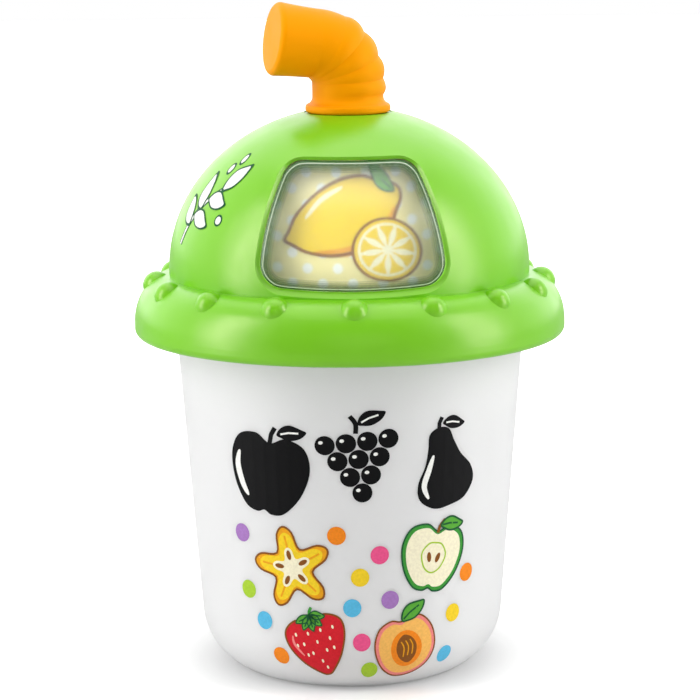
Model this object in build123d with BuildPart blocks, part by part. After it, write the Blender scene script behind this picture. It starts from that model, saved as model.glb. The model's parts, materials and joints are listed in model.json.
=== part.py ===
from build123d import *
from math import acos, asin, atan2, cos, degrees, hypot, pi, radians, sin, sqrt, tan
import os

# A toddler's smoothie cup: a translucent cup with a domed lid, and a bendy straw that turns a drum of
# five pictures behind a window in the dome. Millimetres, +Z up, foot on z = 0, window towards -Y.

os.makedirs("parts", exist_ok=True)

# ---------------------------------------------------------------------------------------------------
# Driving dimensions
# ---------------------------------------------------------------------------------------------------
# Cup
cup_height = 95.0            # foot to the underside of the flange
brim_overhang = 11.05        # lid's brim beyond the top of the cup
cup_wall = 2.0
corner_radius = 17.9
corner_centre_radius = 23.51
corner_centre_height = 16.3
foot_ring_width = 2.0
floor_recess = 1.5           # how far the underside sits above the table
floor_thickness = 2.4
flange_thickness = 2.0
flange_gap = 0.5
rim_height = 4.0             # register rim above the flange
flange_screw_count = 5

# Lid
lid_wall = 2.2
brim_radius = 58.5
brim_drop = 3.5              # lip below the flange
lip_round = 2.0
shoulder_height = 12.6
shoulder_reach = 9.6         # brim beyond the dome's widest level
dome_lift = 1.8              # widest level of the dome above its crease
dome_height = 43.15
nub_count = 16
nub_place = 0.47             # from the crease to the brim
nub_radius = 3.85
nub_rise = 2.0
seat_depth = 1.55            # flat for the straw, below the dome's crown
seat_radius = 11.9
top_boss_radius = 10.5
top_boss_height = 5.0
brim_boss_radius = 3.5
plate_boss_radius = 2.4
plate_boss_inset = 1.9       # boss axis inside the dome's inner wall
plate_boss_count = 3
plate_boss_start = -30.0     # heading of the first boss, clear of the window
plate_screw_depth = 7.0      # thread in a boss
flange_screw_depth = 6.0
pilot_end_gap = 1.0          # pilot hole beyond the thread's end

# Window
window_bottom_rise = 1.8     # sill above the crease between dome and shoulder
window_height = 32.1
window_bottom_half = 24.3
window_bow = 1.0             # how far the sill dips at its middle
window_side_half = 22.8      # half width at the side's middle point
window_side_height = 13.7
window_top_half = 15.9
window_bottom_corner = 6.0
window_top_corner = 7.0
bezel_width = 1.5
lens_inset = 0.9
lens_thickness = 2.5
lens_round = 0.9
lens_flange = 2.2
lens_gap = 0.1

# Straw
straw_angle = 195.0          # heading of the mouth about Z, degrees from +X
straw_radius = 9.6
straw_wall = 2.0
collar_radius = 11.45
collar_height = 2.2
collar_flare = 2.0
straw_rise = 8.0             # seat to the start of the bend
bend_radius = 11.0
bend_angle = 82.2
bellows_angles = (-16.0, 3.5, 21.0, 42.0, 60.0)
bellows_swell = 0.36
barrel_length = 11.6
barrel_neck_radius = 9.25
barrel_mouth_radius = 10.0
mouth_round = 1.5
straw_lift = 0.2             # collar above its seat
collar_round = 0.9
barrel_flare_share = 0.35    # of the barrel's flare, reached at half its length

# Turning unit
spindle_radius = 4.0
spindle_flat = 3.2
spindle_fit = 0.05
plug_height = 6.6
plug_gap = 0.05
bush_wall = 2.5
bush_flange_radius = 9.0
bush_flange_thickness = 1.4
washer_thickness = 0.8
washer_radius = 7.0
thrust_gap = 0.1
hub_radius = 7.5
drum_side_gap = 5.7          # drum inside the dome's inner wall
drum_crown_gap = 4.75        # drum's curve below the dome's crown
drum_wall = 1.6
drum_drop = 0.6              # drum's top below the hub's end
drum_rib_count = 5
drum_rib_height = 13.0
drum_rib_thickness = 1.5
rib_root = 0.5               # rib let into the hub
drum_clearance = 3.0         # drum above the lid plate
card_thickness = 0.4
card_angle = 71.5
card_margin = 1.2
rotor_radius = 14.0
rotor_flange_thickness = 2.0
journal_radius = 5.5
journal_fit = 0.06
wiper_thickness = 0.3
wiper_inner_radius = 9.0
wiper_outer_radius = 13.0
finger_length = 0.95
finger_radius = 0.5
finger_count = 3
wiper_gap = 0.15
drum_screw_depth = 8.0       # thread in the spindle's end
drum_screw_recess = 1.2      # screw head above the rotor's lower end

# Lid plate and encoder
plate_rise = 10.0            # top of the lid plate above the flange's underside
plate_thickness = 2.0
plate_edge = 2.6             # plate beyond its screws
encoder_radius = 20.0
encoder_bore_radius = 7.5
encoder_thickness = 1.0
encoder_screw_circle = 17.0
encoder_screw_count = 3
encoder_screw_start = 30.0
encoder_screw_head_radius = 1.9
encoder_screw_head_height = 0.9
encoder_plug_y = 14.6
encoder_plug_size = (7.0, 4.0, 4.5)
encoder_plug_gap = 1.0

# Battery box, cells and door
cell_radius = 5.25
cell_length = 44.5
cell_nub_radius = 1.9
cell_nub_length = 0.9
cell_side_gap = 0.4
cell_floor_gap = 0.4
contact_thickness = 0.4
contact_spring_length = 3.5
contact_spring_radius = 3.2
contact_spring_count = 3
contact_spring_step = 0.6    # each turn smaller than the one before
contact_spring_slope = 0.9
contact_tab_width = 2.4
contact_edge_gap = 0.6       # plate inside the cell's outline, above and below
contact_side_gap = 1.0       # and at each side
tab_side_gap = 0.1
tab_face_gap = 0.05
cell_edge = 0.3
saddle_x = 12.0
saddle_gap = 0.1
box_centre_y = 3.5
box_wall = 1.5
box_roof = 1.6
box_corner = 3.0
box_head_gap = 1.2           # cells to the roof
box_post_reach = 3.4         # post axis beyond the box's end
box_ear_height = 4.1
box_ear_thickness = 1.8
cavity_corner = 1.0
door_overlap = 0.8
door_side_overlap = 0.6
door_gap = 0.3
door_corner = 5.0
door_seat_gap = 0.1
hinge_pin_radius = 0.7
hinge_pin_fit = 0.05
hinge_pin_length = 1.2
door_tab_half_width = 6.0
door_tab_length = 6.6
door_tab_corner = 2.0
door_post_radius = 3.2
door_post_height = 8.0
door_post_cap = 1.0
door_screw_length = 5.1
door_screw_gap = 0.35
door_bore_gap = 0.1
door_head_side_gap = 0.2
cross_width = 0.6            # recess in the door screw's head
cross_share = 1.3            # of the head's radius, from end to end
cross_depth = 0.84

# Electronics in the cup
board_length = 56.0
board_width = 37.0
board_thickness = 1.2
board_corner = 4.0
board_standoff = 3.4
board_screw_x = 20.0
board_screw_y = 8.3
lamp_radius = 1.5
lamp_height = 3.0
lamp_side_x = 14.0
lamp_side_y = -7.0           # from the board's middle line
lamp_back_y = 5.0
chip_x = 9.0
chip_y = 8.0
chip_size = (8.0, 8.0, 1.4)
capacitor_x = -9.0
capacitor_y = 3.0
capacitor_radius = 2.0
capacitor_height = 4.6
capacitor_round = 0.4
board_plug_x = -1.0
board_plug_y = 12.5          # from the board's middle line
board_plug_size = (7.0, 4.0, 3.8)
speaker_y = -20.0
speaker_radius = 10.0
speaker_post_x = 13.2
speaker_post_radius = 2.1
speaker_rim_width = 2.2
speaker_rim_thickness = 1.0
speaker_rim_lift = 0.5       # rim above the cup's floor
surround_thickness = 0.3
surround_inset = 0.5
cone_edge_inset = 0.8
cone_thickness = 0.4
cone_cap_radius = 3.2
cone_cap_rise = 0.6
cone_cap_gap = 0.9           # cap below the basket
basket_side_inset = 4.3
basket_foot_inset = 1.6
basket_foot_lift = 0.4
basket_wall = 0.6
basket_rise = 1.2            # basket's top above the clamp's seat
magnet_radius = 5.0
magnet_height = 3.0
clamp_thickness = 1.4
clamp_overhang = 0.4
clamp_wall = 1.3
clamp_hole_inset = 3.7
clamp_rim_gap = 0.1
clamp_screw_head_radius = 2.0
grille_ring_count = 3
grille_hole_radius = 0.9
grille_pitch = 3.2
switch_x = 18.0
switch_y = -15.9
switch_travel = 5.0
switch_body_length = 10.0
switch_body_width = 4.0
switch_body_height = 4.0
switch_body_lift = 2.3
cradle_width = 1.3
cradle_height = 5.1
cradle_gap = 0.1
lever_width = 1.4
lever_length = 1.8
lever_height = 1.8
lever_side_gap = 0.2
lever_end_gap = 0.3
knob_width = 3.2
knob_length = 4.0
knob_proud = 0.8             # below the cup's underside
knob_round = 0.5
knob_flange_lift = 0.2
knob_flange_thickness = 0.9
knob_flange_side = 0.8       # flange beyond the knob, across and along
knob_flange_end = 0.6
slot_gap = 0.3
slot_corner = 0.8
lead_radius = 0.35
lead_crest = 4.9             # leads above the board before they drop onto it
switch_pin_a = (-0.8, -0.1)  # leads' starts from the switch's middle
switch_pin_b = (1.0, 2.3)
switch_lead_inset = 4.0      # their ends from the board's front edge
switch_lead_a_x = -1.0       # and from the switch's middle
switch_lead_b_x = 2.2
speaker_lead_inset = 2.0
speaker_lead_x = 3.4         # their starts from the speaker's axis
speaker_lead_y = -7.6
speaker_lead_end_x = 2.8
cable_radius = 0.9
cable_end_run = 0.15         # straight run at each end, as a share of the drop

# Bends of the thin leads: x and y from the start, and the share of the climb
switch_lead_a_bends = ((0.3, -1.6, 0.34), (0.1, -2.2, 0.70), (-0.1, 0.4, 0.985))
switch_lead_b_bends = ((0.4, -1.6, 0.33), (1.2, -4.0, 0.71), (1.2, -1.8, 0.985))
speaker_lead_bends = ((0.8, 1.0, 0.54), (0.2, 6.0, 0.985))
# Bends of the lid's cable: x and y from the start, and the share of the drop
cable_bends = ((2.0, 14.4, 0.29), (2.6, 18.4, 0.53), (0.5, 16.4, 0.75))

# Fasteners
screw_radius = 1.3
screw_head_radius = 2.3
screw_head_height = 1.4
pilot_gap = 0.02             # pilot hole round a thread
hole_gap = 0.25              # clearance hole round a thread
pilot_floor = 0.4            # left under a pilot hole
screw_point_share = 0.4      # of the thread's radius
screw_edge_share = 0.2       # of the head's height
short_screw_depth = 3.0      # thread in a post
post_radius = 2.3
post_root = 1.0              # post let into the wall below
cut_overrun = 1.0            # how far a cut runs past the face it opens


# ---------------------------------------------------------------------------------------------------
# Levels and radii that follow
# ---------------------------------------------------------------------------------------------------
cup_top_radius = brim_radius - brim_overhang
top_run = cup_top_radius - corner_centre_radius
top_rise = cup_height - corner_centre_height
cup_taper = acos(corner_radius / hypot(top_run, top_rise)) - atan2(top_rise, top_run)


def cup_radius(height):
    """Outside radius of the cup's straight side."""
    return cup_top_radius - (cup_height - height) * tan(cup_taper)


corner_tangent_z = corner_centre_height - corner_radius * sin(cup_taper)
foot_radius = corner_centre_radius + sqrt(corner_radius**2 - corner_centre_height**2)
inner_corner_radius = corner_radius - cup_wall
floor_z = floor_recess + floor_thickness
floor_radius = corner_centre_radius + sqrt(inner_corner_radius**2 - (corner_centre_height - floor_z) ** 2)

dome_radius = brim_radius - shoulder_reach
flange_radius = brim_radius - lid_wall - flange_gap
flange_top_z = cup_height + flange_thickness
flange_screw_radius = (cup_top_radius + flange_radius) / 2
dome_dip = asin(dome_lift / dome_height)
crease_radius = dome_radius * cos(dome_dip)
shoulder_width = brim_radius - crease_radius
nub_circle_radius = crease_radius + nub_place * shoulder_width
crease_z = cup_height + shoulder_height
dome_centre_z = crease_z + dome_lift
dome_top_z = dome_centre_z + dome_height
seat_z = dome_top_z - seat_depth
top_boss_z = seat_z - top_boss_height
dome_inner_radius = dome_radius - lid_wall
plate_screw_radius = dome_inner_radius - plate_boss_inset
plate_radius = plate_screw_radius + plate_edge
plate_top_z = cup_height + plate_rise
plate_bottom_z = plate_top_z - plate_thickness

bush_bottom_z = top_boss_z - bush_flange_thickness
hub_top_z = bush_bottom_z - washer_thickness - 2 * thrust_gap
drum_top_z = hub_top_z - drum_drop
drum_bottom_z = plate_top_z + drum_clearance
drum_radius = dome_inner_radius - drum_side_gap
drum_height = dome_height - drum_crown_gap
encoder_top_z = plate_top_z + encoder_thickness
wiper_z = encoder_top_z + wiper_gap + finger_length
rotor_z = wiper_z + wiper_thickness
hub_bottom_z = rotor_z + rotor_flange_thickness
drum_screw_z = plate_bottom_z + screw_head_height + drum_screw_recess

cell_half_pitch = cell_radius + cell_side_gap / 2
cavity_half_width = 2 * cell_radius + cell_side_gap
cavity_half_length = (cell_length + contact_spring_length) / 2 + contact_thickness
cell_z = floor_z + cell_floor_gap + cell_radius
box_bottom_z = floor_z + door_seat_gap
cavity_top_z = cell_z + cell_radius + box_head_gap
box_top_z = cavity_top_z + box_roof
box_half_length = cavity_half_length + box_wall
box_half_width = cavity_half_width + box_wall
box_post_x = box_half_length + box_post_reach
board_z = box_top_z + board_standoff
board_top_z = board_z + board_thickness

door_half_length = cavity_half_length + door_overlap
door_half_width = cavity_half_width + door_side_overlap
hinge_radius = floor_thickness / 2
hinge_y = box_centre_y - door_half_width + hinge_radius
hinge_z = floor_recess + hinge_radius
door_far_y = box_centre_y + door_half_width
door_screw_y = door_far_y + door_tab_length / 2
door_screw_z = floor_recess + screw_head_height + door_seat_gap


# ---------------------------------------------------------------------------------------------------
# Shared shapes
# ---------------------------------------------------------------------------------------------------
def radial_plane(angle):
    """Upright plane through the Z axis, with its local x along the given heading."""
    a = radians(angle)
    return Plane(origin=(0, 0, 0), x_dir=(cos(a), sin(a), 0), z_dir=(sin(a), -cos(a), 0))


def dome_curve(inset, low_z):
    """Half outline of the dome, moved inwards by inset, from a low level up to the crown."""
    height = dome_height - inset
    dip = degrees(asin((dome_centre_z - low_z) / height))
    return EllipticalCenterArc(
        (0, dome_centre_z), dome_radius - inset, height, start_angle=-dip, arc_size=90 + dip
    )


def dome_solid(inset, low_z):
    """Solid of revolution under the dome's surface, moved inwards by inset."""
    with BuildPart() as dome:
        with BuildSketch(Plane.XZ):
            with BuildLine():
                curve = dome_curve(inset, low_z)
                Polyline(curve @ 1, (0, low_z), curve @ 0)
            make_face()
        revolve(axis=Axis.Z)
    return dome.part


def window_prism(grow):
    """Prism of the window's outline, widened by grow, running outwards along -Y."""
    sill_z = crease_z + window_bottom_rise - grow
    sill_corner_z = sill_z + window_bow
    top_z = crease_z + window_bottom_rise + window_height + grow
    side_z = crease_z + window_bottom_rise + window_side_height
    bottom_half = window_bottom_half + grow
    side_half = window_side_half + grow
    top_half = window_top_half + grow
    with BuildPart() as prism:
        with BuildSketch(Plane.XZ.offset(seat_radius + grow)):
            with BuildLine():
                ThreePointArc((-bottom_half, sill_corner_z), (0, sill_z), (bottom_half, sill_corner_z))
                ThreePointArc((bottom_half, sill_corner_z), (side_half, side_z), (top_half, top_z))
                Line((top_half, top_z), (-top_half, top_z))
                ThreePointArc((-top_half, top_z), (-side_half, side_z), (-bottom_half, sill_corner_z))
            outline = make_face()
            fillet(outline.vertices().group_by(Axis.Z)[0], window_bottom_corner + grow)
            fillet(outline.vertices().group_by(Axis.Z)[-1], window_top_corner + grow)
        extrude(amount=dome_radius)
    return prism.part


def turned_over(x, y, z):
    """Place for a screw that is driven downwards, with its head's underside at the point."""
    return Location((x, y, z), (180, 0, 0))


def screw(length, radius=screw_radius, head_radius=screw_head_radius, head_height=screw_head_height):
    """Screw on +Z with the underside of its head at the origin."""
    with BuildPart() as body:
        Cylinder(head_radius, head_height, align=(Align.CENTER, Align.CENTER, Align.MAX))
        Cylinder(radius, length, align=(Align.CENTER, Align.CENTER, Align.MIN))
        chamfer(body.faces().sort_by(Axis.Z)[-1].edges(), radius * screw_point_share)
        chamfer(body.faces().sort_by(Axis.Z)[0].edges(), head_height * screw_edge_share)
    return body.part


BASE = (Align.CENTER, Align.CENTER, Align.MIN)
TOUCH = 1e-4                 # closer than this counts as the same place


def post(x, y, low_z, high_z, radius):
    """Round post between two levels, added to the part that is being built."""
    with Locations((x, y, low_z)):
        Cylinder(radius, high_z - low_z, align=BASE)


def bore(x, y, low_z, high_z, radius):
    """Round hole between two levels, cut from the part that is being built."""
    with Locations((x, y, low_z)):
        Cylinder(radius, high_z - low_z, align=BASE, mode=Mode.SUBTRACT)


# ---------------------------------------------------------------------------------------------------
# Cup
# ---------------------------------------------------------------------------------------------------
with BuildPart() as cup_outer:
    with BuildSketch(Plane.XZ):
        with BuildLine():
            Polyline((foot_radius, 0), (0, 0), (0, cup_height), (cup_top_radius, cup_height))
            corner_end = (cup_radius(corner_tangent_z), corner_tangent_z)
            Line((cup_top_radius, cup_height), corner_end)
            RadiusArc(corner_end, (foot_radius, 0), corner_radius)
        make_face()
    revolve(axis=Axis.Z)

with BuildPart() as cup_cavity:
    with BuildSketch(Plane.XZ):
        with BuildLine():
            mouth_radius = cup_top_radius - cup_wall / cos(cup_taper)
            high_z = flange_top_z + rim_height + cut_overrun
            inner_end = (
                corner_centre_radius + inner_corner_radius * cos(cup_taper),
                corner_centre_height - inner_corner_radius * sin(cup_taper),
            )
            Polyline(
                (floor_radius, floor_z), (0, floor_z), (0, high_z), (mouth_radius, high_z),
                (mouth_radius, cup_height), inner_end,
            )
            RadiusArc(inner_end, (floor_radius, floor_z), inner_corner_radius)
        make_face()
    revolve(axis=Axis.Z)

knob_rest_y = switch_y - switch_travel / 2
slot_length = knob_length + switch_travel + 2 * slot_gap
cradle_reach = (switch_body_length + cradle_width) / 2 + cradle_gap
post_low_z = floor_z - post_root
post_top_z = floor_z + box_ear_height
pilot_low_z = floor_z + pilot_floor

with BuildPart() as cup_shell:
    add(cup_outer.part)
    with BuildSketch(Plane.XY.offset(cup_height)):
        Circle(flange_radius)
    extrude(amount=flange_thickness)
    with BuildSketch(Plane.XY.offset(flange_top_z)):
        Circle(cup_top_radius)
    extrude(amount=rim_height)
    add(cup_cavity.part, mode=Mode.SUBTRACT)
    # Recess inside the foot ring
    bore(0, 0, 0, floor_recess, foot_radius - foot_ring_width)
    # Holes for the lid's screws
    with BuildSketch(Plane.XY.offset(cup_height)):
        with PolarLocations(flange_screw_radius, flange_screw_count, start_angle=90):
            Circle(screw_radius + hole_gap)
    extrude(amount=flange_thickness, mode=Mode.SUBTRACT)
    # Posts for the battery box and the speaker, and the switch's cradle
    for side in (-1, 1):
        post(side * box_post_x, box_centre_y, post_low_z, post_top_z, post_radius)
        post(side * speaker_post_x, speaker_y, post_low_z, post_top_z, speaker_post_radius)
        with Locations((switch_x, switch_y + side * cradle_reach, post_low_z)):
            Box(switch_body_width, cradle_width, post_root + cradle_height, align=BASE)
        bore(side * box_post_x, box_centre_y, pilot_low_z, post_top_z, screw_radius + pilot_gap)
        bore(side * speaker_post_x, speaker_y, pilot_low_z, post_top_z, screw_radius + pilot_gap)
    # Grille under the speaker: one hole, then six more in each ring than in the ring inside it
    with BuildSketch(Plane.XY.offset(floor_recess)):
        for ring in range(grille_ring_count):
            with Locations((0, speaker_y)):
                with PolarLocations(ring * grille_pitch, max(1, 6 * ring)):
                    Circle(grille_hole_radius)
    extrude(amount=floor_thickness, mode=Mode.SUBTRACT)
    # Slot for the switch's knob
    with BuildSketch(Plane.XY.offset(floor_recess)):
        with Locations((switch_x, switch_y)):
            RectangleRounded(knob_width + 2 * slot_gap, slot_length, slot_corner)
    extrude(amount=floor_thickness, mode=Mode.SUBTRACT)
    # Opening for the battery door
    with BuildSketch(Plane.XY.offset(floor_recess)):
        with Locations((0, box_centre_y)):
            door_hole = Rectangle(2 * (door_half_length + door_gap), 2 * (door_half_width + door_gap))
            fillet(door_hole.vertices().group_by(Axis.Y)[-1], door_corner + door_gap)
        with Locations((0, door_far_y + door_gap)):
            Rectangle(
                2 * (door_tab_half_width + door_gap), door_tab_length, align=(Align.CENTER, Align.MIN)
            )
    extrude(amount=floor_thickness, mode=Mode.SUBTRACT)
    # Sockets for the door's hinge pins
    with BuildSketch(Plane.YZ.offset(-door_half_length - door_gap - hinge_pin_length)):
        with Locations((hinge_y, hinge_z)):
            Circle(hinge_pin_radius + hinge_pin_fit)
    extrude(amount=2 * (door_half_length + door_gap + hinge_pin_length), mode=Mode.SUBTRACT)
cup_shell.part.label = "cup_shell"
export_step(cup_shell.part, "parts/cup_shell.step")

# Battery door: a half-round hinge edge with two pins, and a tab for the captive screw
with BuildPart() as battery_door:
    with BuildSketch(Plane.XY.offset(floor_recess)):
        with Locations((0, hinge_y)):
            leaf = Rectangle(2 * door_half_length, door_far_y - hinge_y, align=(Align.CENTER, Align.MIN))
            fillet(leaf.vertices().group_by(Axis.Y)[-1], door_corner)
        with Locations((0, door_far_y)):
            tab = Rectangle(2 * door_tab_half_width, door_tab_length, align=(Align.CENTER, Align.MIN))
            fillet(tab.vertices().group_by(Axis.Y)[-1], door_tab_corner)
    extrude(amount=floor_thickness)
    with BuildSketch(Plane.YZ.offset(-door_half_length)):
        with Locations((hinge_y, hinge_z)):
            Circle(hinge_radius)
    extrude(amount=2 * door_half_length)
    with BuildSketch(Plane.YZ.offset(-door_half_length - hinge_pin_length)):
        with Locations((hinge_y, hinge_z)):
            Circle(hinge_pin_radius)
    extrude(amount=2 * (door_half_length + hinge_pin_length))
    bore(0, door_screw_y, floor_recess, door_screw_z, screw_head_radius + door_head_side_gap)
    bore(0, door_screw_y, floor_recess, floor_z, screw_radius + door_bore_gap)
battery_door.part.label = "battery_door"
export_step(battery_door.part, "parts/battery_door.step")

with BuildPart() as door_screw:
    with Locations((0, door_screw_y, door_screw_z)):
        add(screw(door_screw_length))
    with BuildSketch(Plane.XY.offset(door_screw_z - screw_head_height)):
        with Locations((0, door_screw_y)):
            Rectangle(screw_head_radius * cross_share, cross_width)
            Rectangle(cross_width, screw_head_radius * cross_share)
    extrude(amount=cross_depth, mode=Mode.SUBTRACT)
door_screw.part.label = "door_screw"
export_step(door_screw.part, "parts/door_screw.step")

# ---------------------------------------------------------------------------------------------------
# Lid
# ---------------------------------------------------------------------------------------------------
with BuildPart() as lid_hollow:
    with BuildSketch(Plane.XZ):
        with BuildLine():
            inner_brim = brim_radius - lid_wall
            low_z = cup_height - brim_drop - cut_overrun
            Polyline((0, dome_top_z - lid_wall), (0, low_z), (inner_brim, low_z), (inner_brim, cup_height))
            EllipticalCenterArc(
                (crease_radius, cup_height), shoulder_width - lid_wall, shoulder_height - lid_wall,
                start_angle=0, arc_size=90,
            )
            inner_dome = dome_curve(lid_wall, crease_z - lid_wall)
            Line((crease_radius, crease_z - lid_wall), inner_dome @ 0)
        make_face()
    revolve(axis=Axis.Z)
    # Bosses stay solid where the hollow leaves them out
    bore(0, 0, top_boss_z, dome_top_z, top_boss_radius)
    with BuildSketch(Plane.XY.offset(plate_top_z)):
        with PolarLocations(plate_screw_radius, plate_boss_count, start_angle=plate_boss_start):
            Circle(plate_boss_radius)
    extrude(amount=dome_height, mode=Mode.SUBTRACT)
    with BuildSketch(Plane.XY.offset(flange_top_z)):
        with PolarLocations(flange_screw_radius, flange_screw_count, start_angle=90):
            Circle(brim_boss_radius)
    extrude(amount=shoulder_height, mode=Mode.SUBTRACT)

# Nubs stand square on the shoulder's curve
nub_t = sqrt(1 - ((nub_circle_radius - crease_radius) / shoulder_width) ** 2)
nub_surface_z = cup_height + shoulder_height * nub_t
nub_lean = hypot((nub_circle_radius - crease_radius) / shoulder_width**2, nub_t / shoulder_height)
nub_out = (nub_circle_radius - crease_radius) / shoulder_width**2 / nub_lean
nub_up = nub_t / shoulder_height / nub_lean
nub_sink = nub_radius - nub_rise


def on_dome(edge, inset=0.0):
    """True for an edge that lies on the dome's outer surface, moved inwards by inset."""
    middle = edge @ 0.5
    reach = hypot(middle.X, middle.Y) / (dome_radius - inset)
    return abs(hypot(reach, (middle.Z - dome_centre_z) / (dome_height - inset)) - 1) < TOUCH


with BuildPart() as lid_shell:
    with BuildSketch(Plane.XZ):
        with BuildLine():
            lip_z = cup_height - brim_drop
            Polyline((0, dome_top_z), (0, lip_z), (brim_radius - lip_round, lip_z))
            RadiusArc((brim_radius - lip_round, lip_z), (brim_radius, lip_z + lip_round), -lip_round)
            Line((brim_radius, lip_z + lip_round), (brim_radius, cup_height))
            EllipticalCenterArc(
                (crease_radius, cup_height), shoulder_width, shoulder_height, start_angle=0, arc_size=90
            )
            dome_curve(0, crease_z)
        make_face()
    revolve(axis=Axis.Z)
    with PolarLocations(nub_circle_radius - nub_sink * nub_out, nub_count, start_angle=-90):
        with Locations((0, 0, nub_surface_z - nub_sink * nub_up)):
            Sphere(nub_radius)
    add(lid_hollow.part, mode=Mode.SUBTRACT)
    # Window and its sloping bezel
    add(window_prism(0), mode=Mode.SUBTRACT)
    bezel_edges = lid_shell.edges(Select.LAST).filter_by(on_dome)
    chamfer(bezel_edges, bezel_width)
    # Flat seat and bore for the straw
    bore(0, 0, seat_z, dome_top_z, seat_radius)
    bore(0, 0, top_boss_z, seat_z, spindle_radius + spindle_fit + bush_wall + pilot_gap)
    # Pilot holes
    with BuildSketch(Plane.XY.offset(plate_top_z)):
        with PolarLocations(plate_screw_radius, plate_boss_count, start_angle=plate_boss_start):
            Circle(screw_radius + pilot_gap)
    extrude(amount=plate_screw_depth + pilot_end_gap, mode=Mode.SUBTRACT)
    with BuildSketch(Plane.XY.offset(flange_top_z)):
        with PolarLocations(flange_screw_radius, flange_screw_count, start_angle=90):
            Circle(screw_radius + pilot_gap)
    extrude(amount=flange_screw_depth + pilot_end_gap, mode=Mode.SUBTRACT)
lid_shell.part.label = "lid_shell"
export_step(lid_shell.part, "parts/lid_shell.step")

# Clear lens: a cap that fills the opening and a rim that seats behind the dome's wall
with BuildPart() as lens_cap:
    add(dome_solid(lens_inset, crease_z))
    add(dome_solid(lens_inset + lens_thickness, crease_z - cut_overrun), mode=Mode.SUBTRACT)
    add(window_prism(-lens_gap), mode=Mode.INTERSECT)
    front_edges = lens_cap.edges().filter_by(lambda edge: on_dome(edge, lens_inset))
    fillet(front_edges, lens_round)

with BuildPart() as lens_rim:
    add(dome_solid(lid_wall + lens_gap, crease_z - lid_wall))
    add(dome_solid(lens_inset + lens_thickness, crease_z - lid_wall - cut_overrun), mode=Mode.SUBTRACT)
    add(window_prism(lens_flange), mode=Mode.INTERSECT)

with BuildPart() as window_lens:
    add(lens_rim.part)
    add(lens_cap.part)
window_lens.part.label = "window_lens"
export_step(window_lens.part, "parts/window_lens.step")

with BuildPart() as spindle_bush:
    bush_radius = spindle_radius + spindle_fit + bush_wall
    post(0, 0, top_boss_z, seat_z, bush_radius)
    post(0, 0, bush_bottom_z, top_boss_z, bush_flange_radius)
    bore(0, 0, bush_bottom_z, seat_z, spindle_radius + spindle_fit)
spindle_bush.part.label = "spindle_bush"
export_step(spindle_bush.part, "parts/spindle_bush.step")

with BuildPart() as lid_plate:
    post(0, 0, plate_bottom_z, plate_top_z, plate_radius)
    bore(0, 0, plate_bottom_z, plate_top_z, journal_radius + journal_fit)
    with PolarLocations(plate_screw_radius, plate_boss_count, start_angle=plate_boss_start):
        with Locations((0, 0, plate_bottom_z)):
            Cylinder(screw_radius + hole_gap, plate_thickness, align=BASE, mode=Mode.SUBTRACT)
    with PolarLocations(encoder_screw_circle, encoder_screw_count, start_angle=encoder_screw_start):
        with Locations((0, 0, plate_bottom_z)):
            Cylinder(screw_radius + pilot_gap, plate_thickness, align=BASE, mode=Mode.SUBTRACT)
    with Locations((0, encoder_plug_y, plate_bottom_z)):
        Box(
            encoder_plug_size[0] + 2 * encoder_plug_gap, encoder_plug_size[1] + 2 * encoder_plug_gap,
            plate_thickness, align=BASE, mode=Mode.SUBTRACT,
        )
lid_plate.part.label = "lid_plate"
export_step(lid_plate.part, "parts/lid_plate.step")

with BuildPart() as lid_plate_screws:
    with PolarLocations(plate_screw_radius, plate_boss_count, start_angle=plate_boss_start):
        with Locations((0, 0, plate_bottom_z)):
            add(screw(plate_thickness + plate_screw_depth))
lid_plate_screws.part.label = "lid_plate_screws"
export_step(lid_plate_screws.part, "parts/lid_plate_screws.step")

with BuildPart() as flange_screws:
    with PolarLocations(flange_screw_radius, flange_screw_count, start_angle=90):
        with Locations((0, 0, cup_height)):
            add(screw(flange_thickness + flange_screw_depth))
flange_screws.part.label = "flange_screws"
export_step(flange_screws.part, "parts/flange_screws.step")

with BuildPart() as encoder_board:
    post(0, 0, plate_top_z, encoder_top_z, encoder_radius)
    bore(0, 0, plate_top_z, encoder_top_z, encoder_bore_radius)
    with PolarLocations(encoder_screw_circle, encoder_screw_count, start_angle=encoder_screw_start):
        with Locations((0, 0, plate_top_z)):
            Cylinder(screw_radius + hole_gap, encoder_thickness, align=BASE, mode=Mode.SUBTRACT)
encoder_board.part.label = "encoder_board"
export_step(encoder_board.part, "parts/encoder_board.step")

with BuildPart() as encoder_screws:
    encoder_screw = screw(
        encoder_thickness + plate_thickness, head_radius=encoder_screw_head_radius,
        head_height=encoder_screw_head_height,
    )
    with PolarLocations(encoder_screw_circle, encoder_screw_count, start_angle=encoder_screw_start):
        with Locations(turned_over(0, 0, encoder_top_z)):
            add(encoder_screw)
encoder_screws.part.label = "encoder_screws"
export_step(encoder_screws.part, "parts/encoder_screws.step")

with BuildPart() as encoder_plug:
    with Locations((0, encoder_plug_y, plate_top_z - encoder_plug_size[2])):
        Box(*encoder_plug_size, align=BASE)
encoder_plug.part.label = "encoder_plug"
export_step(encoder_plug.part, "parts/encoder_plug.step")

# ---------------------------------------------------------------------------------------------------
# Straw: collar, bellows bend and flared barrel, all hollow round one centreline
# ---------------------------------------------------------------------------------------------------
heading = Vector(cos(radians(straw_angle)), sin(radians(straw_angle)), 0)
side_way = Vector(-heading.Y, heading.X, 0)
upright = Vector(0, 0, 1)
straw_bottom_z = seat_z + straw_lift
bend_z = seat_z + straw_rise


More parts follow.
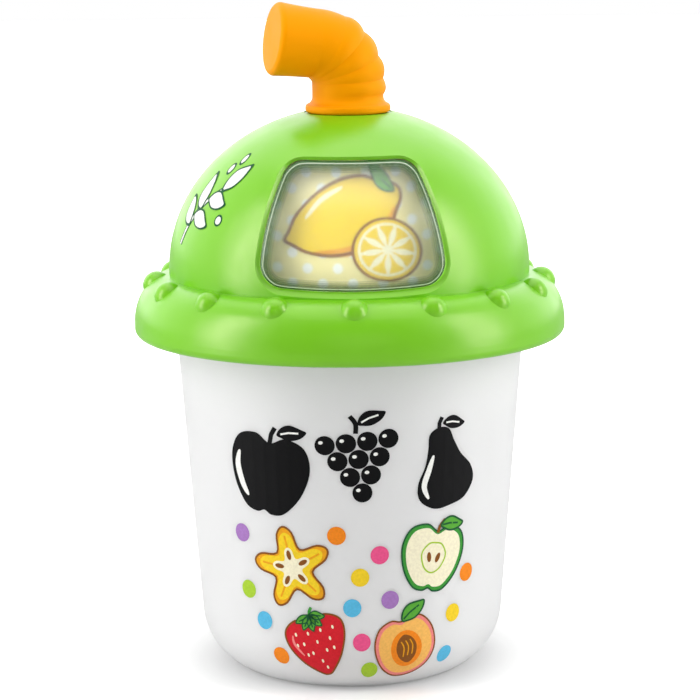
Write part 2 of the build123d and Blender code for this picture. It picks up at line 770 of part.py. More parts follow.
def bend_plane(angle, shift=0.0, along=0.0):
    """Plane across the straw at an angle round the bend, moved outwards and along the straw."""
    if angle < 0:
        centre = upright * (bend_z + bend_radius * radians(angle)) - heading * shift
        return Plane(origin=centre, x_dir=side_way, z_dir=upright)
    a = radians(angle)
    way = heading * sin(a) + upright * cos(a)
    reach = bend_radius + shift
    centre = heading * (bend_radius - reach * cos(a)) + upright * (bend_z + reach * sin(a))
    return Plane(origin=centre + way * along, x_dir=side_way, z_dir=way)


with BuildPart() as straw:
    with BuildSketch(Plane.XZ):
        with BuildLine():
            bellows_z = bend_z + bend_radius * radians(bellows_angles[0])
            flare_z = straw_bottom_z + collar_height
            Polyline(
                (straw_radius, bellows_z), (0, bellows_z), (0, straw_bottom_z),
                (collar_radius, straw_bottom_z), (collar_radius, flare_z),
            )
            EllipticalCenterArc(
                (collar_radius, flare_z + collar_flare), collar_radius - straw_radius, collar_flare,
                start_angle=180, arc_size=90,
            )
            Line((straw_radius, flare_z + collar_flare), (straw_radius, bellows_z))
        make_face()
    revolve(axis=Axis.Z)
    # One lobe of the bellows between each two valleys, swelling on the outside of the bend only
    for low, high in zip(bellows_angles, bellows_angles[1:]):
        for angle, swell in ((low, 0), ((low + high) / 2, bellows_swell), (high, 0)):
            with BuildSketch(bend_plane(angle, swell)):
                Circle(straw_radius + swell)
        loft()
    neck_mid = (bellows_angles[-1] + bend_angle) / 2
    neck_radii = (straw_radius, (straw_radius + barrel_neck_radius) / 2, barrel_neck_radius)
    for angle, radius in zip((bellows_angles[-1], neck_mid, bend_angle), neck_radii):
        with BuildSketch(bend_plane(angle)):
            Circle(radius)
    loft()
    barrel_swell = barrel_mouth_radius - barrel_neck_radius
    for share, swell in ((0, 0), (0.5, barrel_flare_share), (1, 1)):
        with BuildSketch(bend_plane(bend_angle, along=share * barrel_length)):
            Circle(barrel_neck_radius + swell * barrel_swell)
    loft()
    rims = straw.edges().filter_by(GeomType.CIRCLE)
    collar_rims = rims.filter_by(lambda rim: abs(rim.radius - collar_radius) < TOUCH)
    fillet(collar_rims, collar_round)
    mouth_rim = straw.faces().sort_by(Axis(origin=(0, 0, 0), direction=heading))[-1].edges()
    fillet(mouth_rim, mouth_round)
    with BuildLine(mode=Mode.PRIVATE) as bore_path:
        mouth = bend_plane(bend_angle, along=barrel_length - straw_wall)
        bend_end = bend_plane(bend_angle)
        rise = Line((0, 0, straw_bottom_z), (0, 0, bend_z))
        turn = TangentArc(rise @ 1, bend_end.origin, tangent=rise % 1)
        Line(turn @ 1, mouth.origin)
    with BuildSketch(Plane.XY.offset(straw_bottom_z)):
        Circle(straw_radius - straw_wall)
    sweep(path=bore_path.wires()[0], mode=Mode.SUBTRACT)
straw.part.label = "straw"
export_step(straw.part, "parts/straw.step")

# ---------------------------------------------------------------------------------------------------
# Turning unit under the straw
# ---------------------------------------------------------------------------------------------------
with BuildPart() as spindle:
    post(0, 0, straw_bottom_z, straw_bottom_z + plug_height, straw_radius - straw_wall - plug_gap)
    post(0, 0, hub_bottom_z + thrust_gap, straw_bottom_z, spindle_radius)
    # Flat that drives the drum
    with Locations((spindle_flat, 0, hub_bottom_z)):
        Box(
            spindle_radius, 2 * spindle_radius, hub_top_z - hub_bottom_z,
            align=(Align.MIN, Align.CENTER, Align.MIN), mode=Mode.SUBTRACT,
        )
    bore(0, 0, hub_bottom_z, hub_bottom_z + drum_screw_depth + pilot_end_gap, screw_radius + pilot_gap)
spindle.part.label = "spindle"
export_step(spindle.part, "parts/spindle.step")

with BuildPart() as drum_washer:
    post(0, 0, hub_top_z + thrust_gap, hub_top_z + thrust_gap + washer_thickness, washer_radius)
    bore(0, 0, hub_top_z, bush_bottom_z, spindle_radius + spindle_fit)
drum_washer.part.label = "drum_washer"
export_step(drum_washer.part, "parts/drum_washer.step")

def drum_reach(level, shift=0.0):
    """Radius of the drum's outside at a level, moved outwards by shift."""
    rise = (level - dome_centre_z) / (drum_height + shift)
    return (drum_radius + shift) * sqrt(1 - rise**2)


def drum_curve(low_z, high_z, shift=0.0):
    """Half outline of the drum between two levels, moved outwards by shift."""
    height = drum_height + shift
    low, high = (degrees(asin((level - dome_centre_z) / height)) for level in (low_z, high_z))
    return EllipticalCenterArc(
        (0, dome_centre_z), drum_radius + shift, height, start_angle=low, arc_size=high - low
    )


with BuildPart() as picture_drum:
    inner_top_z = drum_top_z - drum_wall
    with BuildSketch(Plane.XZ):
        with BuildLine():
            outside = drum_curve(drum_bottom_z, drum_top_z)
            inside = drum_curve(drum_bottom_z, inner_top_z, -drum_wall)
            Polyline(outside @ 1, (0, drum_top_z), (0, inner_top_z), inside @ 1)
            Line(inside @ 0, outside @ 0)
        make_face()
    revolve(axis=Axis.Z)
    post(0, 0, hub_bottom_z, hub_top_z, hub_radius)
    rib_low_z = inner_top_z - drum_rib_height
    rib_inner = hub_radius - rib_root
    rib_outer = drum_reach(inner_top_z) - drum_wall
    for rib in range(drum_rib_count):
        with BuildSketch(radial_plane(90 + rib * 360 / drum_rib_count)):
            with BuildLine():
                Polyline(
                    (rib_inner, inner_top_z), (rib_inner, rib_low_z), (rib_outer, inner_top_z), close=True
                )
            make_face()
        extrude(amount=drum_rib_thickness / 2, both=True)
    # Bore with a flat, to fit the spindle
    with BuildSketch(Plane.XY.offset(hub_bottom_z)):
        Circle(spindle_radius + spindle_fit)
        with Locations((spindle_flat + spindle_fit, 0)):
            Rectangle(
                spindle_radius, 2 * hub_radius, align=(Align.MIN, Align.CENTER), mode=Mode.SUBTRACT
            )
    extrude(amount=hub_top_z - hub_bottom_z, mode=Mode.SUBTRACT)
picture_drum.part.label = "picture_drum"
export_step(picture_drum.part, "parts/picture_drum.step")

card_names = ("lemon_card", "berry_card", "orange_card", "apple_card", "plum_card")
card_low_z = drum_bottom_z + card_margin
card_high_z = drum_top_z - card_margin
for index, card_name in enumerate(card_names):
    with BuildPart() as picture_card:
        with BuildSketch(radial_plane(-90 - card_angle / 2 + index * 360 / len(card_names))):
            with BuildLine():
                back = drum_curve(card_low_z, card_high_z)
                front = drum_curve(card_low_z, card_high_z, card_thickness)
                Line(back @ 0, front @ 0)
                Line(back @ 1, front @ 1)
            make_face()
        revolve(axis=Axis.Z, revolution_arc=card_angle)
    picture_card.part.label = card_name
    export_step(picture_card.part, f"parts/{card_name}.step")

with BuildPart() as contact_rotor:
    post(0, 0, rotor_z, hub_bottom_z, rotor_radius)
    post(0, 0, plate_bottom_z, rotor_z, journal_radius)
    bore(0, 0, plate_bottom_z, hub_bottom_z, screw_radius + hole_gap)
    bore(0, 0, plate_bottom_z, drum_screw_z, screw_head_radius + hole_gap)
contact_rotor.part.label = "contact_rotor"
export_step(contact_rotor.part, "parts/contact_rotor.step")

with BuildPart() as drum_screw:
    with Locations((0, 0, drum_screw_z)):
        add(screw(hub_bottom_z - drum_screw_z + drum_screw_depth))
drum_screw.part.label = "drum_screw"
export_step(drum_screw.part, "parts/drum_screw.step")

with BuildPart() as wiper_contact:
    post(0, 0, wiper_z, rotor_z, wiper_outer_radius)
    with PolarLocations((wiper_inner_radius + wiper_outer_radius) / 2, finger_count):
        with Locations((0, 0, wiper_z - finger_length)):
            Cylinder(finger_radius, finger_length + wiper_thickness / 2, align=BASE)
    bore(0, 0, wiper_z, rotor_z, wiper_inner_radius)
wiper_contact.part.label = "wiper_contact"
export_step(wiper_contact.part, "parts/wiper_contact.step")

# ---------------------------------------------------------------------------------------------------
# Battery box, cells and contacts
# ---------------------------------------------------------------------------------------------------
board_screws_xy = [
    (x, box_centre_y + y) for x in (-board_screw_x, board_screw_x) for y in (-board_screw_y, board_screw_y)
]
box_post_spots = [(side * box_post_x, box_centre_y) for side in (-1, 1)]
cell_places = ((-1, 1), (1, -1))    # which side in Y, and which way the cell's nub points in X
ear_z = post_top_z
ear_top_z = ear_z + box_ear_thickness

with BuildPart() as battery_box:
    with BuildSketch(Plane.XY.offset(box_bottom_z)):
        with Locations((0, box_centre_y)):
            RectangleRounded(2 * box_half_length, 2 * box_half_width, box_corner)
    extrude(amount=box_top_z - box_bottom_z)
    with BuildSketch(Plane.XY.offset(ear_z)):
        with Locations((0, box_centre_y)):
            SlotCenterToCenter(2 * box_post_x, 2 * post_radius)
    extrude(amount=box_ear_thickness)
    post(0, door_screw_y, box_bottom_z, box_bottom_z + door_post_height, door_post_radius)
    for x, y in board_screws_xy:
        post(x, y, box_top_z, board_z, post_radius)
        bore(x, y, cavity_top_z + pilot_floor, board_z, screw_radius + pilot_gap)
    for x, y in box_post_spots:
        bore(x, y, ear_z, ear_top_z, screw_radius + hole_gap)
    with BuildSketch(Plane.XY.offset(box_bottom_z)):
        with Locations((0, box_centre_y)):
            RectangleRounded(2 * cavity_half_length, 2 * cavity_half_width, cavity_corner)
    extrude(amount=cavity_top_z - box_bottom_z, mode=Mode.SUBTRACT)
    # Saddles over the cells
    for x in (-saddle_x, saddle_x):
        with Locations((x, box_centre_y, cell_z)):
            Box(box_wall, 2 * cavity_half_width, cavity_top_z - cell_z, align=BASE)
    for side in (-1, 1):
        with Locations(Location((0, box_centre_y + side * cell_half_pitch, cell_z), (0, 90, 0))):
            Cylinder(cell_radius + saddle_gap, 2 * cavity_half_length, mode=Mode.SUBTRACT)
    door_bore_top_z = box_bottom_z + door_post_height - door_post_cap
    bore(0, door_screw_y, box_bottom_z, door_bore_top_z, screw_radius + door_screw_gap)
    # Slots for the contacts' tabs
    for side, way in cell_places:
        slot_x = way * (cavity_half_length - contact_thickness / 2)
        with Locations((slot_x, box_centre_y + side * cell_half_pitch, cavity_top_z)):
            Box(
                contact_thickness + 2 * tab_face_gap, contact_tab_width + 2 * tab_side_gap, box_roof,
                align=BASE, mode=Mode.SUBTRACT,
            )
battery_box.part.label = "battery_box"
export_step(battery_box.part, "parts/battery_box.step")

with BuildPart() as box_screws:
    with Locations(*[turned_over(x, y, ear_top_z) for x, y in box_post_spots]):
        add(screw(box_ear_thickness + short_screw_depth))
box_screws.part.label = "box_screws"
export_step(box_screws.part, "parts/box_screws.step")

for name, (side, way) in zip(("front_cell", "rear_cell"), cell_places):
    with BuildPart() as cell:
        nub_face_x = way * (cavity_half_length - contact_thickness)
        nub_spot = (nub_face_x, box_centre_y + side * cell_half_pitch, cell_z)
        with Locations(Location(nub_spot, (0, -90 * way, 0))):
            Cylinder(cell_nub_radius, cell_length, align=BASE)
            with Locations((0, 0, cell_nub_length)):
                Cylinder(cell_radius, cell_length - cell_nub_length, align=BASE)
        rims = cell.edges().filter_by(GeomType.CIRCLE)
        chamfer(rims.filter_by(lambda rim: abs(rim.radius - cell_radius) < TOUCH), cell_edge)
    cell.part.label = name
    export_step(cell.part, f"parts/{name}.step")

# Contacts: a tabbed plate at each nub, and a spring on a plate at each cell's other end
plate_size = (contact_thickness, 2 * (cell_radius - contact_side_gap), 2 * (cell_radius - contact_edge_gap))

with BuildPart() as contact_plates:
    for side, way in cell_places:
        plate_x = way * (cavity_half_length - contact_thickness / 2)
        with Locations((plate_x, box_centre_y + side * cell_half_pitch, cell_z)):
            Box(*plate_size)
            Box(contact_thickness, contact_tab_width, board_z - cell_z, align=BASE)
contact_plates.part.label = "contact_plates"
export_step(contact_plates.part, "parts/contact_plates.step")

with BuildPart() as contact_springs:
    turn_height = contact_spring_length / contact_spring_count
    for side, way in cell_places:
        cell_y = box_centre_y + side * cell_half_pitch
        plate_face_x = way * (contact_thickness - cavity_half_length)
        with Locations((plate_face_x - way * contact_thickness / 2, cell_y, cell_z)):
            Box(*plate_size)
        for turn in range(contact_spring_count):
            turn_radius = contact_spring_radius - contact_spring_step * turn
            spot = (plate_face_x + way * turn * turn_height, cell_y, cell_z)
            with Locations(Location(spot, (0, 90 * way, 0))):
                Cone(turn_radius, turn_radius - contact_spring_slope, turn_height, align=BASE)
contact_springs.part.label = "contact_springs"
export_step(contact_springs.part, "parts/contact_springs.step")

# ---------------------------------------------------------------------------------------------------
# Main board and what stands on it
# ---------------------------------------------------------------------------------------------------
with BuildPart() as main_board:
    with BuildSketch(Plane.XY.offset(board_z)):
        with Locations((0, box_centre_y)):
            RectangleRounded(board_length, board_width, board_corner)
    extrude(amount=board_thickness)
    for x, y in board_screws_xy:
        bore(x, y, board_z, board_top_z, screw_radius + hole_gap)
main_board.part.label = "main_board"
export_step(main_board.part, "parts/main_board.step")

with BuildPart() as board_screws:
    with Locations(*[turned_over(x, y, board_top_z) for x, y in board_screws_xy]):
        add(screw(board_thickness + short_screw_depth))
board_screws.part.label = "board_screws"
export_step(board_screws.part, "parts/board_screws.step")

with BuildPart() as lamps:
    lamp_dome_z = board_top_z + lamp_height - lamp_radius
    for x, y in ((-lamp_side_x, lamp_side_y), (lamp_side_x, lamp_side_y), (0, lamp_back_y)):
        post(x, box_centre_y + y, board_top_z, lamp_dome_z, lamp_radius)
        with Locations((x, box_centre_y + y, lamp_dome_z)):
            Sphere(lamp_radius)
lamps.part.label = "lamps"
export_step(lamps.part, "parts/lamps.step")

with BuildPart() as sound_chip:
    with Locations((chip_x, box_centre_y + chip_y, board_top_z)):
        Box(*chip_size, align=BASE)
sound_chip.part.label = "sound_chip"
export_step(sound_chip.part, "parts/sound_chip.step")

with BuildPart() as capacitor:
    capacitor_top_z = board_top_z + capacitor_height
    post(capacitor_x, box_centre_y + capacitor_y, board_top_z, capacitor_top_z, capacitor_radius)
    fillet(capacitor.faces().sort_by(Axis.Z)[-1].edges(), capacitor_round)
capacitor.part.label = "capacitor"
export_step(capacitor.part, "parts/capacitor.step")

with BuildPart() as board_plug:
    with Locations((board_plug_x, box_centre_y + board_plug_y, board_top_z)):
        Box(*board_plug_size, align=BASE)
board_plug.part.label = "board_plug"
export_step(board_plug.part, "parts/board_plug.step")

# ---------------------------------------------------------------------------------------------------
# Speaker, clamp and switch on the cup's floor
# ---------------------------------------------------------------------------------------------------
rim_z = floor_z + speaker_rim_lift
rim_top_z = rim_z + speaker_rim_thickness
cone_z = rim_z - surround_thickness
clamp_z = post_top_z
clamp_top_z = clamp_z + clamp_thickness
basket_top_z = clamp_z + basket_rise
rim_inner_radius = speaker_radius - speaker_rim_width
basket_radius = speaker_radius - basket_side_inset
speaker_plane = Plane(origin=(0, speaker_y, 0), x_dir=(1, 0, 0), z_dir=(0, -1, 0))
speaker_axis = Axis(origin=(0, speaker_y, 0), direction=(0, 0, 1))

with BuildPart() as speaker_frame:
    with BuildSketch(speaker_plane):
        with BuildLine():
            foot_z = clamp_z + basket_foot_lift
            Polyline(
                (rim_inner_radius, rim_z), (speaker_radius, rim_z), (speaker_radius, rim_top_z),
                (speaker_radius - basket_foot_inset, rim_top_z), (basket_radius, foot_z),
                (basket_radius, basket_top_z), (0, basket_top_z), (0, basket_top_z - basket_wall),
                (basket_radius - basket_wall, basket_top_z - basket_wall),
                (basket_radius - basket_wall, foot_z), (rim_inner_radius, rim_top_z), close=True,
            )
        make_face()
    revolve(axis=speaker_axis)
speaker_frame.part.label = "speaker_frame"
export_step(speaker_frame.part, "parts/speaker_frame.step")

with BuildPart() as speaker_cone:
    with BuildSketch(speaker_plane):
        with BuildLine():
            surround_radius = speaker_radius - surround_inset
            cone_radius = rim_inner_radius - cone_edge_inset
            cap_z = basket_top_z - basket_wall - cone_cap_gap
            edge_z = cap_z - cone_cap_rise
            Polyline(
                (surround_radius, cone_z), (surround_radius, rim_z), (cone_radius, rim_z),
                (cone_cap_radius, edge_z), (0, cap_z), (0, cap_z - cone_thickness),
                (cone_cap_radius, edge_z - cone_thickness), (cone_radius, cone_z), close=True,
            )
        make_face()
    revolve(axis=speaker_axis)
speaker_cone.part.label = "speaker_cone"
export_step(speaker_cone.part, "parts/speaker_cone.step")

with BuildPart() as speaker_magnet:
    post(0, speaker_y, basket_top_z, basket_top_z + magnet_height, magnet_radius)
speaker_magnet.part.label = "speaker_magnet"
export_step(speaker_magnet.part, "parts/speaker_magnet.step")

clamp_spots = [(side * speaker_post_x, speaker_y) for side in (-1, 1)]
with BuildPart() as speaker_clamp:
    with BuildSketch(Plane.XY.offset(clamp_z)):
        with Locations((0, speaker_y)):
            Circle(speaker_radius + clamp_overhang)
            SlotCenterToCenter(2 * speaker_post_x, 2 * speaker_post_radius)
    extrude(amount=clamp_thickness)
    post(0, speaker_y, rim_top_z + clamp_rim_gap, clamp_z, speaker_radius)
    bore(0, speaker_y, rim_z, clamp_z, speaker_radius - clamp_wall)
    bore(0, speaker_y, clamp_z, clamp_top_z, speaker_radius - clamp_hole_inset)
    for x, y in clamp_spots:
        bore(x, y, clamp_z, clamp_top_z, screw_radius + hole_gap)
speaker_clamp.part.label = "speaker_clamp"
export_step(speaker_clamp.part, "parts/speaker_clamp.step")

with BuildPart() as clamp_screws:
    clamp_screw = screw(clamp_thickness + short_screw_depth, head_radius=clamp_screw_head_radius)
    with Locations(*[turned_over(x, y, clamp_top_z) for x, y in clamp_spots]):
        add(clamp_screw)
clamp_screws.part.label = "clamp_screws"
export_step(clamp_screws.part, "parts/clamp_screws.step")

switch_z = floor_z + switch_body_lift
switch_top_z = switch_z + switch_body_height
with BuildPart() as slide_switch:
    with Locations((switch_x, switch_y, switch_z)):
        Box(switch_body_width, switch_body_length, switch_body_height, align=BASE)
        Box(
            lever_width + 2 * lever_side_gap, switch_travel + lever_length + 2 * lever_end_gap,
            lever_height + lever_end_gap, align=BASE, mode=Mode.SUBTRACT,
        )
slide_switch.part.label = "slide_switch"
export_step(slide_switch.part, "parts/slide_switch.step")

with BuildPart() as switch_knob:
    knob_low_z = floor_recess - knob_proud
    knob_flange_z = floor_z + knob_flange_lift
    with Locations((switch_x, knob_rest_y, knob_low_z)):
        Box(knob_width, knob_length, knob_flange_z + knob_flange_thickness / 2 - knob_low_z, align=BASE)
    fillet(switch_knob.edges().group_by(Axis.Z)[0], knob_round)
    with Locations((switch_x, knob_rest_y, knob_flange_z)):
        Box(
            knob_width + 2 * knob_flange_side, knob_length + 2 * knob_flange_end, knob_flange_thickness,
            align=BASE,
        )
        Box(lever_width, lever_length, switch_z + lever_height - knob_flange_z, align=BASE)
switch_knob.part.label = "switch_knob"
export_step(switch_knob.part, "parts/switch_knob.step")

# ---------------------------------------------------------------------------------------------------
# Wires: straight runs joined by tangent arcs
# ---------------------------------------------------------------------------------------------------
def corner_radii(points):
    """Arc radius at each inner point, as large as its two runs allow."""
    radii = []
    for before, here, after in zip(points, points[1:], points[2:]):
        run_in = Vector(*here) - Vector(*before)
        run_out = Vector(*after) - Vector(*here)
        half_turn = radians(run_in.get_angle(run_out)) / 2
        radii.append(0.45 * min(run_in.length, run_out.length) / tan(half_turn))
    return radii


def wire(name, points, radius):
    """Round wire along a route of hand-set points, written to its own file."""
    start = Vector(*points[0])
    with BuildPart() as tube:
        with BuildLine() as route:
            FilletPolyline(*points, radius=corner_radii(points))
        with BuildSketch(Plane(origin=start, z_dir=Vector(*points[1]) - start)) as section:
            Circle(radius)
        sweep(sections=section.sketch, path=route.wires()[0])
    tube.part.label = name
    export_step(tube.part, f"parts/{name}.step")


def lead(name, start, bends, end):
    """Thin wire that climbs from start, crests above the board and drops onto it at end."""
    crest_z = end[2] + lead_crest
    climb = crest_z - start[2]
    passing = [(start[0] + x, start[1] + y, start[2] + share * climb) for x, y, share in bends]
    wire(name, [start, *passing, (end[0], end[1], crest_z), end], lead_radius)


cable_start = (0, encoder_plug_y, plate_top_z - encoder_plug_size[2])
cable_end = (board_plug_x, box_centre_y + board_plug_y, board_top_z + board_plug_size[2])
cable_drop = cable_start[2] - cable_end[2]
cable_points = [cable_start, (cable_start[0], cable_start[1], cable_start[2] - cable_end_run * cable_drop)]
for x, y, share in cable_bends:
    cable_points.append((cable_start[0] + x, cable_start[1] + y, cable_start[2] - share * cable_drop))
cable_points += [(cable_end[0], cable_end[1], cable_end[2] + cable_end_run * cable_drop), cable_end]
wire("lid_cable", cable_points, cable_radius)

board_front_y = box_centre_y - board_width / 2
switch_end_y = board_front_y + switch_lead_inset
lead(
    "switch_lead_a", (switch_x + switch_pin_a[0], switch_y + switch_pin_a[1], switch_top_z),
    switch_lead_a_bends, (switch_x + switch_lead_a_x, switch_end_y, board_top_z),
)
lead(
    "switch_lead_b", (switch_x + switch_pin_b[0], switch_y + switch_pin_b[1], switch_top_z),
    switch_lead_b_bends, (switch_x + switch_lead_b_x, switch_end_y, board_top_z),
)
for name, side in (("speaker_lead_a", 1), ("speaker_lead_b", -1)):
    lead(
        name, (side * speaker_lead_x, speaker_y + speaker_lead_y, clamp_top_z),
        [(side * x, y, share) for x, y, share in speaker_lead_bends],
        (side * speaker_lead_end_x, board_front_y + speaker_lead_inset, board_top_z),
    )
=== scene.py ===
"""Looks of the smoothie cup: moulded plastics, a clear lens, printed fruit, and plain studio light."""

import bmesh
import bpy
import json
from math import cos, pi, radians, sin, sqrt
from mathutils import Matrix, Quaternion, Vector
from mathutils.bvhtree import BVHTree


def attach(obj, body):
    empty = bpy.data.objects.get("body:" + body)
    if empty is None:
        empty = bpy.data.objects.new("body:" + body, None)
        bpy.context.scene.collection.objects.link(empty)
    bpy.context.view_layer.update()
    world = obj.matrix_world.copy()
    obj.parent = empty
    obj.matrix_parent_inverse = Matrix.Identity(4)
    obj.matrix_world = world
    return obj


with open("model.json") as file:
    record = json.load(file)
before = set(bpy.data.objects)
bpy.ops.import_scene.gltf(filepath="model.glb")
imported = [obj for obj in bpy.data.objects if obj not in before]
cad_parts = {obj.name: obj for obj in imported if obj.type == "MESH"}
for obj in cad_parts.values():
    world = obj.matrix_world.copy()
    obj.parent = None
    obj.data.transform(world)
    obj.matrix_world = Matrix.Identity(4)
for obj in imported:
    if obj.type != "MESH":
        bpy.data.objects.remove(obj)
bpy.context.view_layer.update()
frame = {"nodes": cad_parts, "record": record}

MM = 0.001


# ----------------------------------------------------------------------------------------------
# Colours, as sRGB
# ----------------------------------------------------------------------------------------------
def rgb(hex_code):
    """Linear colour of an sRGB hex code."""
    values = [int(hex_code[i:i + 2], 16) / 255 for i in (0, 2, 4)]
    return tuple(v / 12.92 if v <= 0.04045 else ((v + 0.055) / 1.055) ** 2.4 for v in values) + (1.0,)


LIME = rgb("75C70B")
ORANGE = rgb("FF9B00")
CUP_WHITE = rgb("F3F3F3")
DARK_GREEN = rgb("3F6B2C")


# ----------------------------------------------------------------------------------------------
# Materials
# ----------------------------------------------------------------------------------------------
NOISE_SPAN = (0.3, 0.7)     # where the values of a noise texture mostly lie
GLOSS_SPREAD = 0.04         # how far roughness strays to either side
MOULD_GRAIN = (2600.0, 0.00003)     # scale and depth (m) of a mould's grain
INK_GRAIN = (2600.0, 0.00001)
CARD_GRAIN = (2200.0, 0.00001)
GRAIN_STRENGTH = 0.35
DOT_PITCH = 5.4             # from dot to dot on the cards, along the slanted rows, mm
DOT_SIZE = 0.24             # radius of a dot, as a share of the pitch
DOT_EDGE = 0.04             # half the width of its soft edge, as a share of the pitch


def new_material(name):
    material = bpy.data.materials.new(name)
    material.use_nodes = True
    tree = material.node_tree
    return material, tree, tree.nodes["Principled BSDF"]


def link(tree, source, target):
    tree.links.new(source, target)


def feed(tree, value, socket):
    """Links an output to the socket, or sets a constant on it."""
    if isinstance(value, bpy.types.NodeSocket):
        link(tree, value, socket)
    else:
        socket.default_value = value


def calculate(tree, kind, operation, *values):
    """Outputs of a maths node that works on outputs or constants."""
    node = tree.nodes.new(kind)
    node.operation = operation
    for value, socket in zip(values, node.inputs):
        feed(tree, value, socket)
    return node.outputs


def map_range(tree, value, before, after, interpolation="LINEAR"):
    """Value mapped from one span of numbers to another, and held at its ends."""
    node = tree.nodes.new("ShaderNodeMapRange")
    node.interpolation_type = interpolation
    for socket, number in zip(("From Min", "From Max", "To Min", "To Max"), (*before, *after)):
        node.inputs[socket].default_value = number
    link(tree, value, node.inputs["Value"])
    return node.outputs["Result"]


def noise(tree, scale, span, detail=2.0):
    """Noise in the object's own coordinates, which are metres, mapped to a span of values."""
    coords = tree.nodes.new("ShaderNodeTexCoord")
    texture = tree.nodes.new("ShaderNodeTexNoise")
    texture.inputs["Scale"].default_value = scale
    texture.inputs["Detail"].default_value = detail
    link(tree, coords.outputs["Object"], texture.inputs["Vector"])
    return map_range(tree, texture.outputs["Fac"], NOISE_SPAN, span) if span else texture.outputs["Fac"]


def shade_of(colour, factor):
    return tuple(min(1.0, c * factor) for c in colour[:3]) + (1.0,)


def blend_colours(tree, factor, first, second):
    mix = tree.nodes.new("ShaderNodeMix")
    mix.data_type = "RGBA"
    link(tree, factor, mix.inputs["Factor"])
    mix.inputs["A"].default_value = first
    mix.inputs["B"].default_value = second
    return mix.outputs["Result"]


def mix_shaders(tree, factor, first, second):
    mix = tree.nodes.new("ShaderNodeMixShader")
    feed(tree, factor, mix.inputs["Fac"])
    link(tree, first, mix.inputs[1])
    link(tree, second, mix.inputs[2])
    return mix.outputs["Shader"]


def plain_shader(tree, kind, colour):
    node = tree.nodes.new(kind)
    node.inputs["Color"].default_value = colour
    return node.outputs["BSDF"]


def add_grain(tree, shader, scale, depth):
    """Fine grain, as bump."""
    bump = tree.nodes.new("ShaderNodeBump")
    bump.inputs["Strength"].default_value = GRAIN_STRENGTH
    bump.inputs["Distance"].default_value = depth
    link(tree, noise(tree, scale, None, detail=3.0), bump.inputs["Height"])
    link(tree, bump.outputs["Normal"], shader.inputs["Normal"])


def moulded(name, colour, roughness=0.4, variation=0.04, scatter=0.0, scatter_depth=0.002, metallic=0.0,
            specular=0.5, sheen=(1, 1, 1, 1)):
    """Moulded plastic: near-even colour, flow variation, uneven gloss and mould grain."""
    material, tree, shader = new_material(name)
    flow = noise(tree, 28.0, (0.0, 1.0))
    tint = blend_colours(tree, flow, shade_of(colour, 1 - variation), shade_of(colour, 1 + variation))
    link(tree, tint, shader.inputs["Base Color"])
    gloss = noise(tree, 140.0, (roughness - GLOSS_SPREAD, roughness + GLOSS_SPREAD), detail=3.0)
    link(tree, gloss, shader.inputs["Roughness"])
    shader.inputs["Metallic"].default_value = metallic
    shader.inputs["Specular IOR Level"].default_value = specular
    shader.inputs["Specular Tint"].default_value = sheen
    if scatter:
        shader.inputs["Subsurface Weight"].default_value = scatter
        shader.inputs["Subsurface Radius"].default_value = (1.0, 1.0, 1.0)
        shader.inputs["Subsurface Scale"].default_value = scatter_depth
    add_grain(tree, shader, *MOULD_GRAIN)
    return material


def clear_plastic(name, haze=0.0):
    """Polished clear plastic, with a light haze, that lets light through to what lies behind it."""
    material, tree, shader = new_material(name)
    shader.inputs["Base Color"].default_value = (0.97, 0.99, 0.98, 1.0)
    shader.inputs["Transmission Weight"].default_value = 1.0
    shader.inputs["IOR"].default_value = 1.49
    link(tree, noise(tree, 90.0, (0.2, 0.26), detail=4.0), shader.inputs["Roughness"])
    veil = plain_shader(tree, "ShaderNodeBsdfDiffuse", (0.9, 0.95, 0.9, 1.0))
    body = mix_shaders(tree, haze, shader.outputs["BSDF"], veil)
    clear = plain_shader(tree, "ShaderNodeBsdfTransparent", (0.94, 0.96, 0.95, 1.0))
    rays = tree.nodes.new("ShaderNodeLightPath")
    surface = mix_shaders(tree, rays.outputs["Is Shadow Ray"], body, clear)
    link(tree, surface, tree.nodes["Material Output"].inputs["Surface"])
    return material


def ink(name, colour):
    """Pad-printed ink: a fine dot screen in the colour, and a thin gloss film."""
    material, tree, shader = new_material(name)
    screen = noise(tree, 1500.0, (0.0, 1.0), detail=1.0)
    tint = blend_colours(tree, screen, shade_of(colour, 0.93), shade_of(colour, 1.05))
    link(tree, tint, shader.inputs["Base Color"])
    link(tree, noise(tree, 300.0, (0.42, 0.54)), shader.inputs["Roughness"])
    shader.inputs["Specular IOR Level"].default_value = 0.12
    add_grain(tree, shader, *INK_GRAIN)
    return material


def painted_light_film(name, colour, cover):
    """Painted light: a partly clear film whose colour stands in for shade or a highlight, and covers only a
    share of what lies behind it.
    """
    material, tree, shader = new_material(name)
    shader.inputs["Base Color"].default_value = colour
    shader.inputs["Alpha"].default_value = cover
    link(tree, noise(tree, 300.0, (0.25, 0.35)), shader.inputs["Roughness"])
    return material


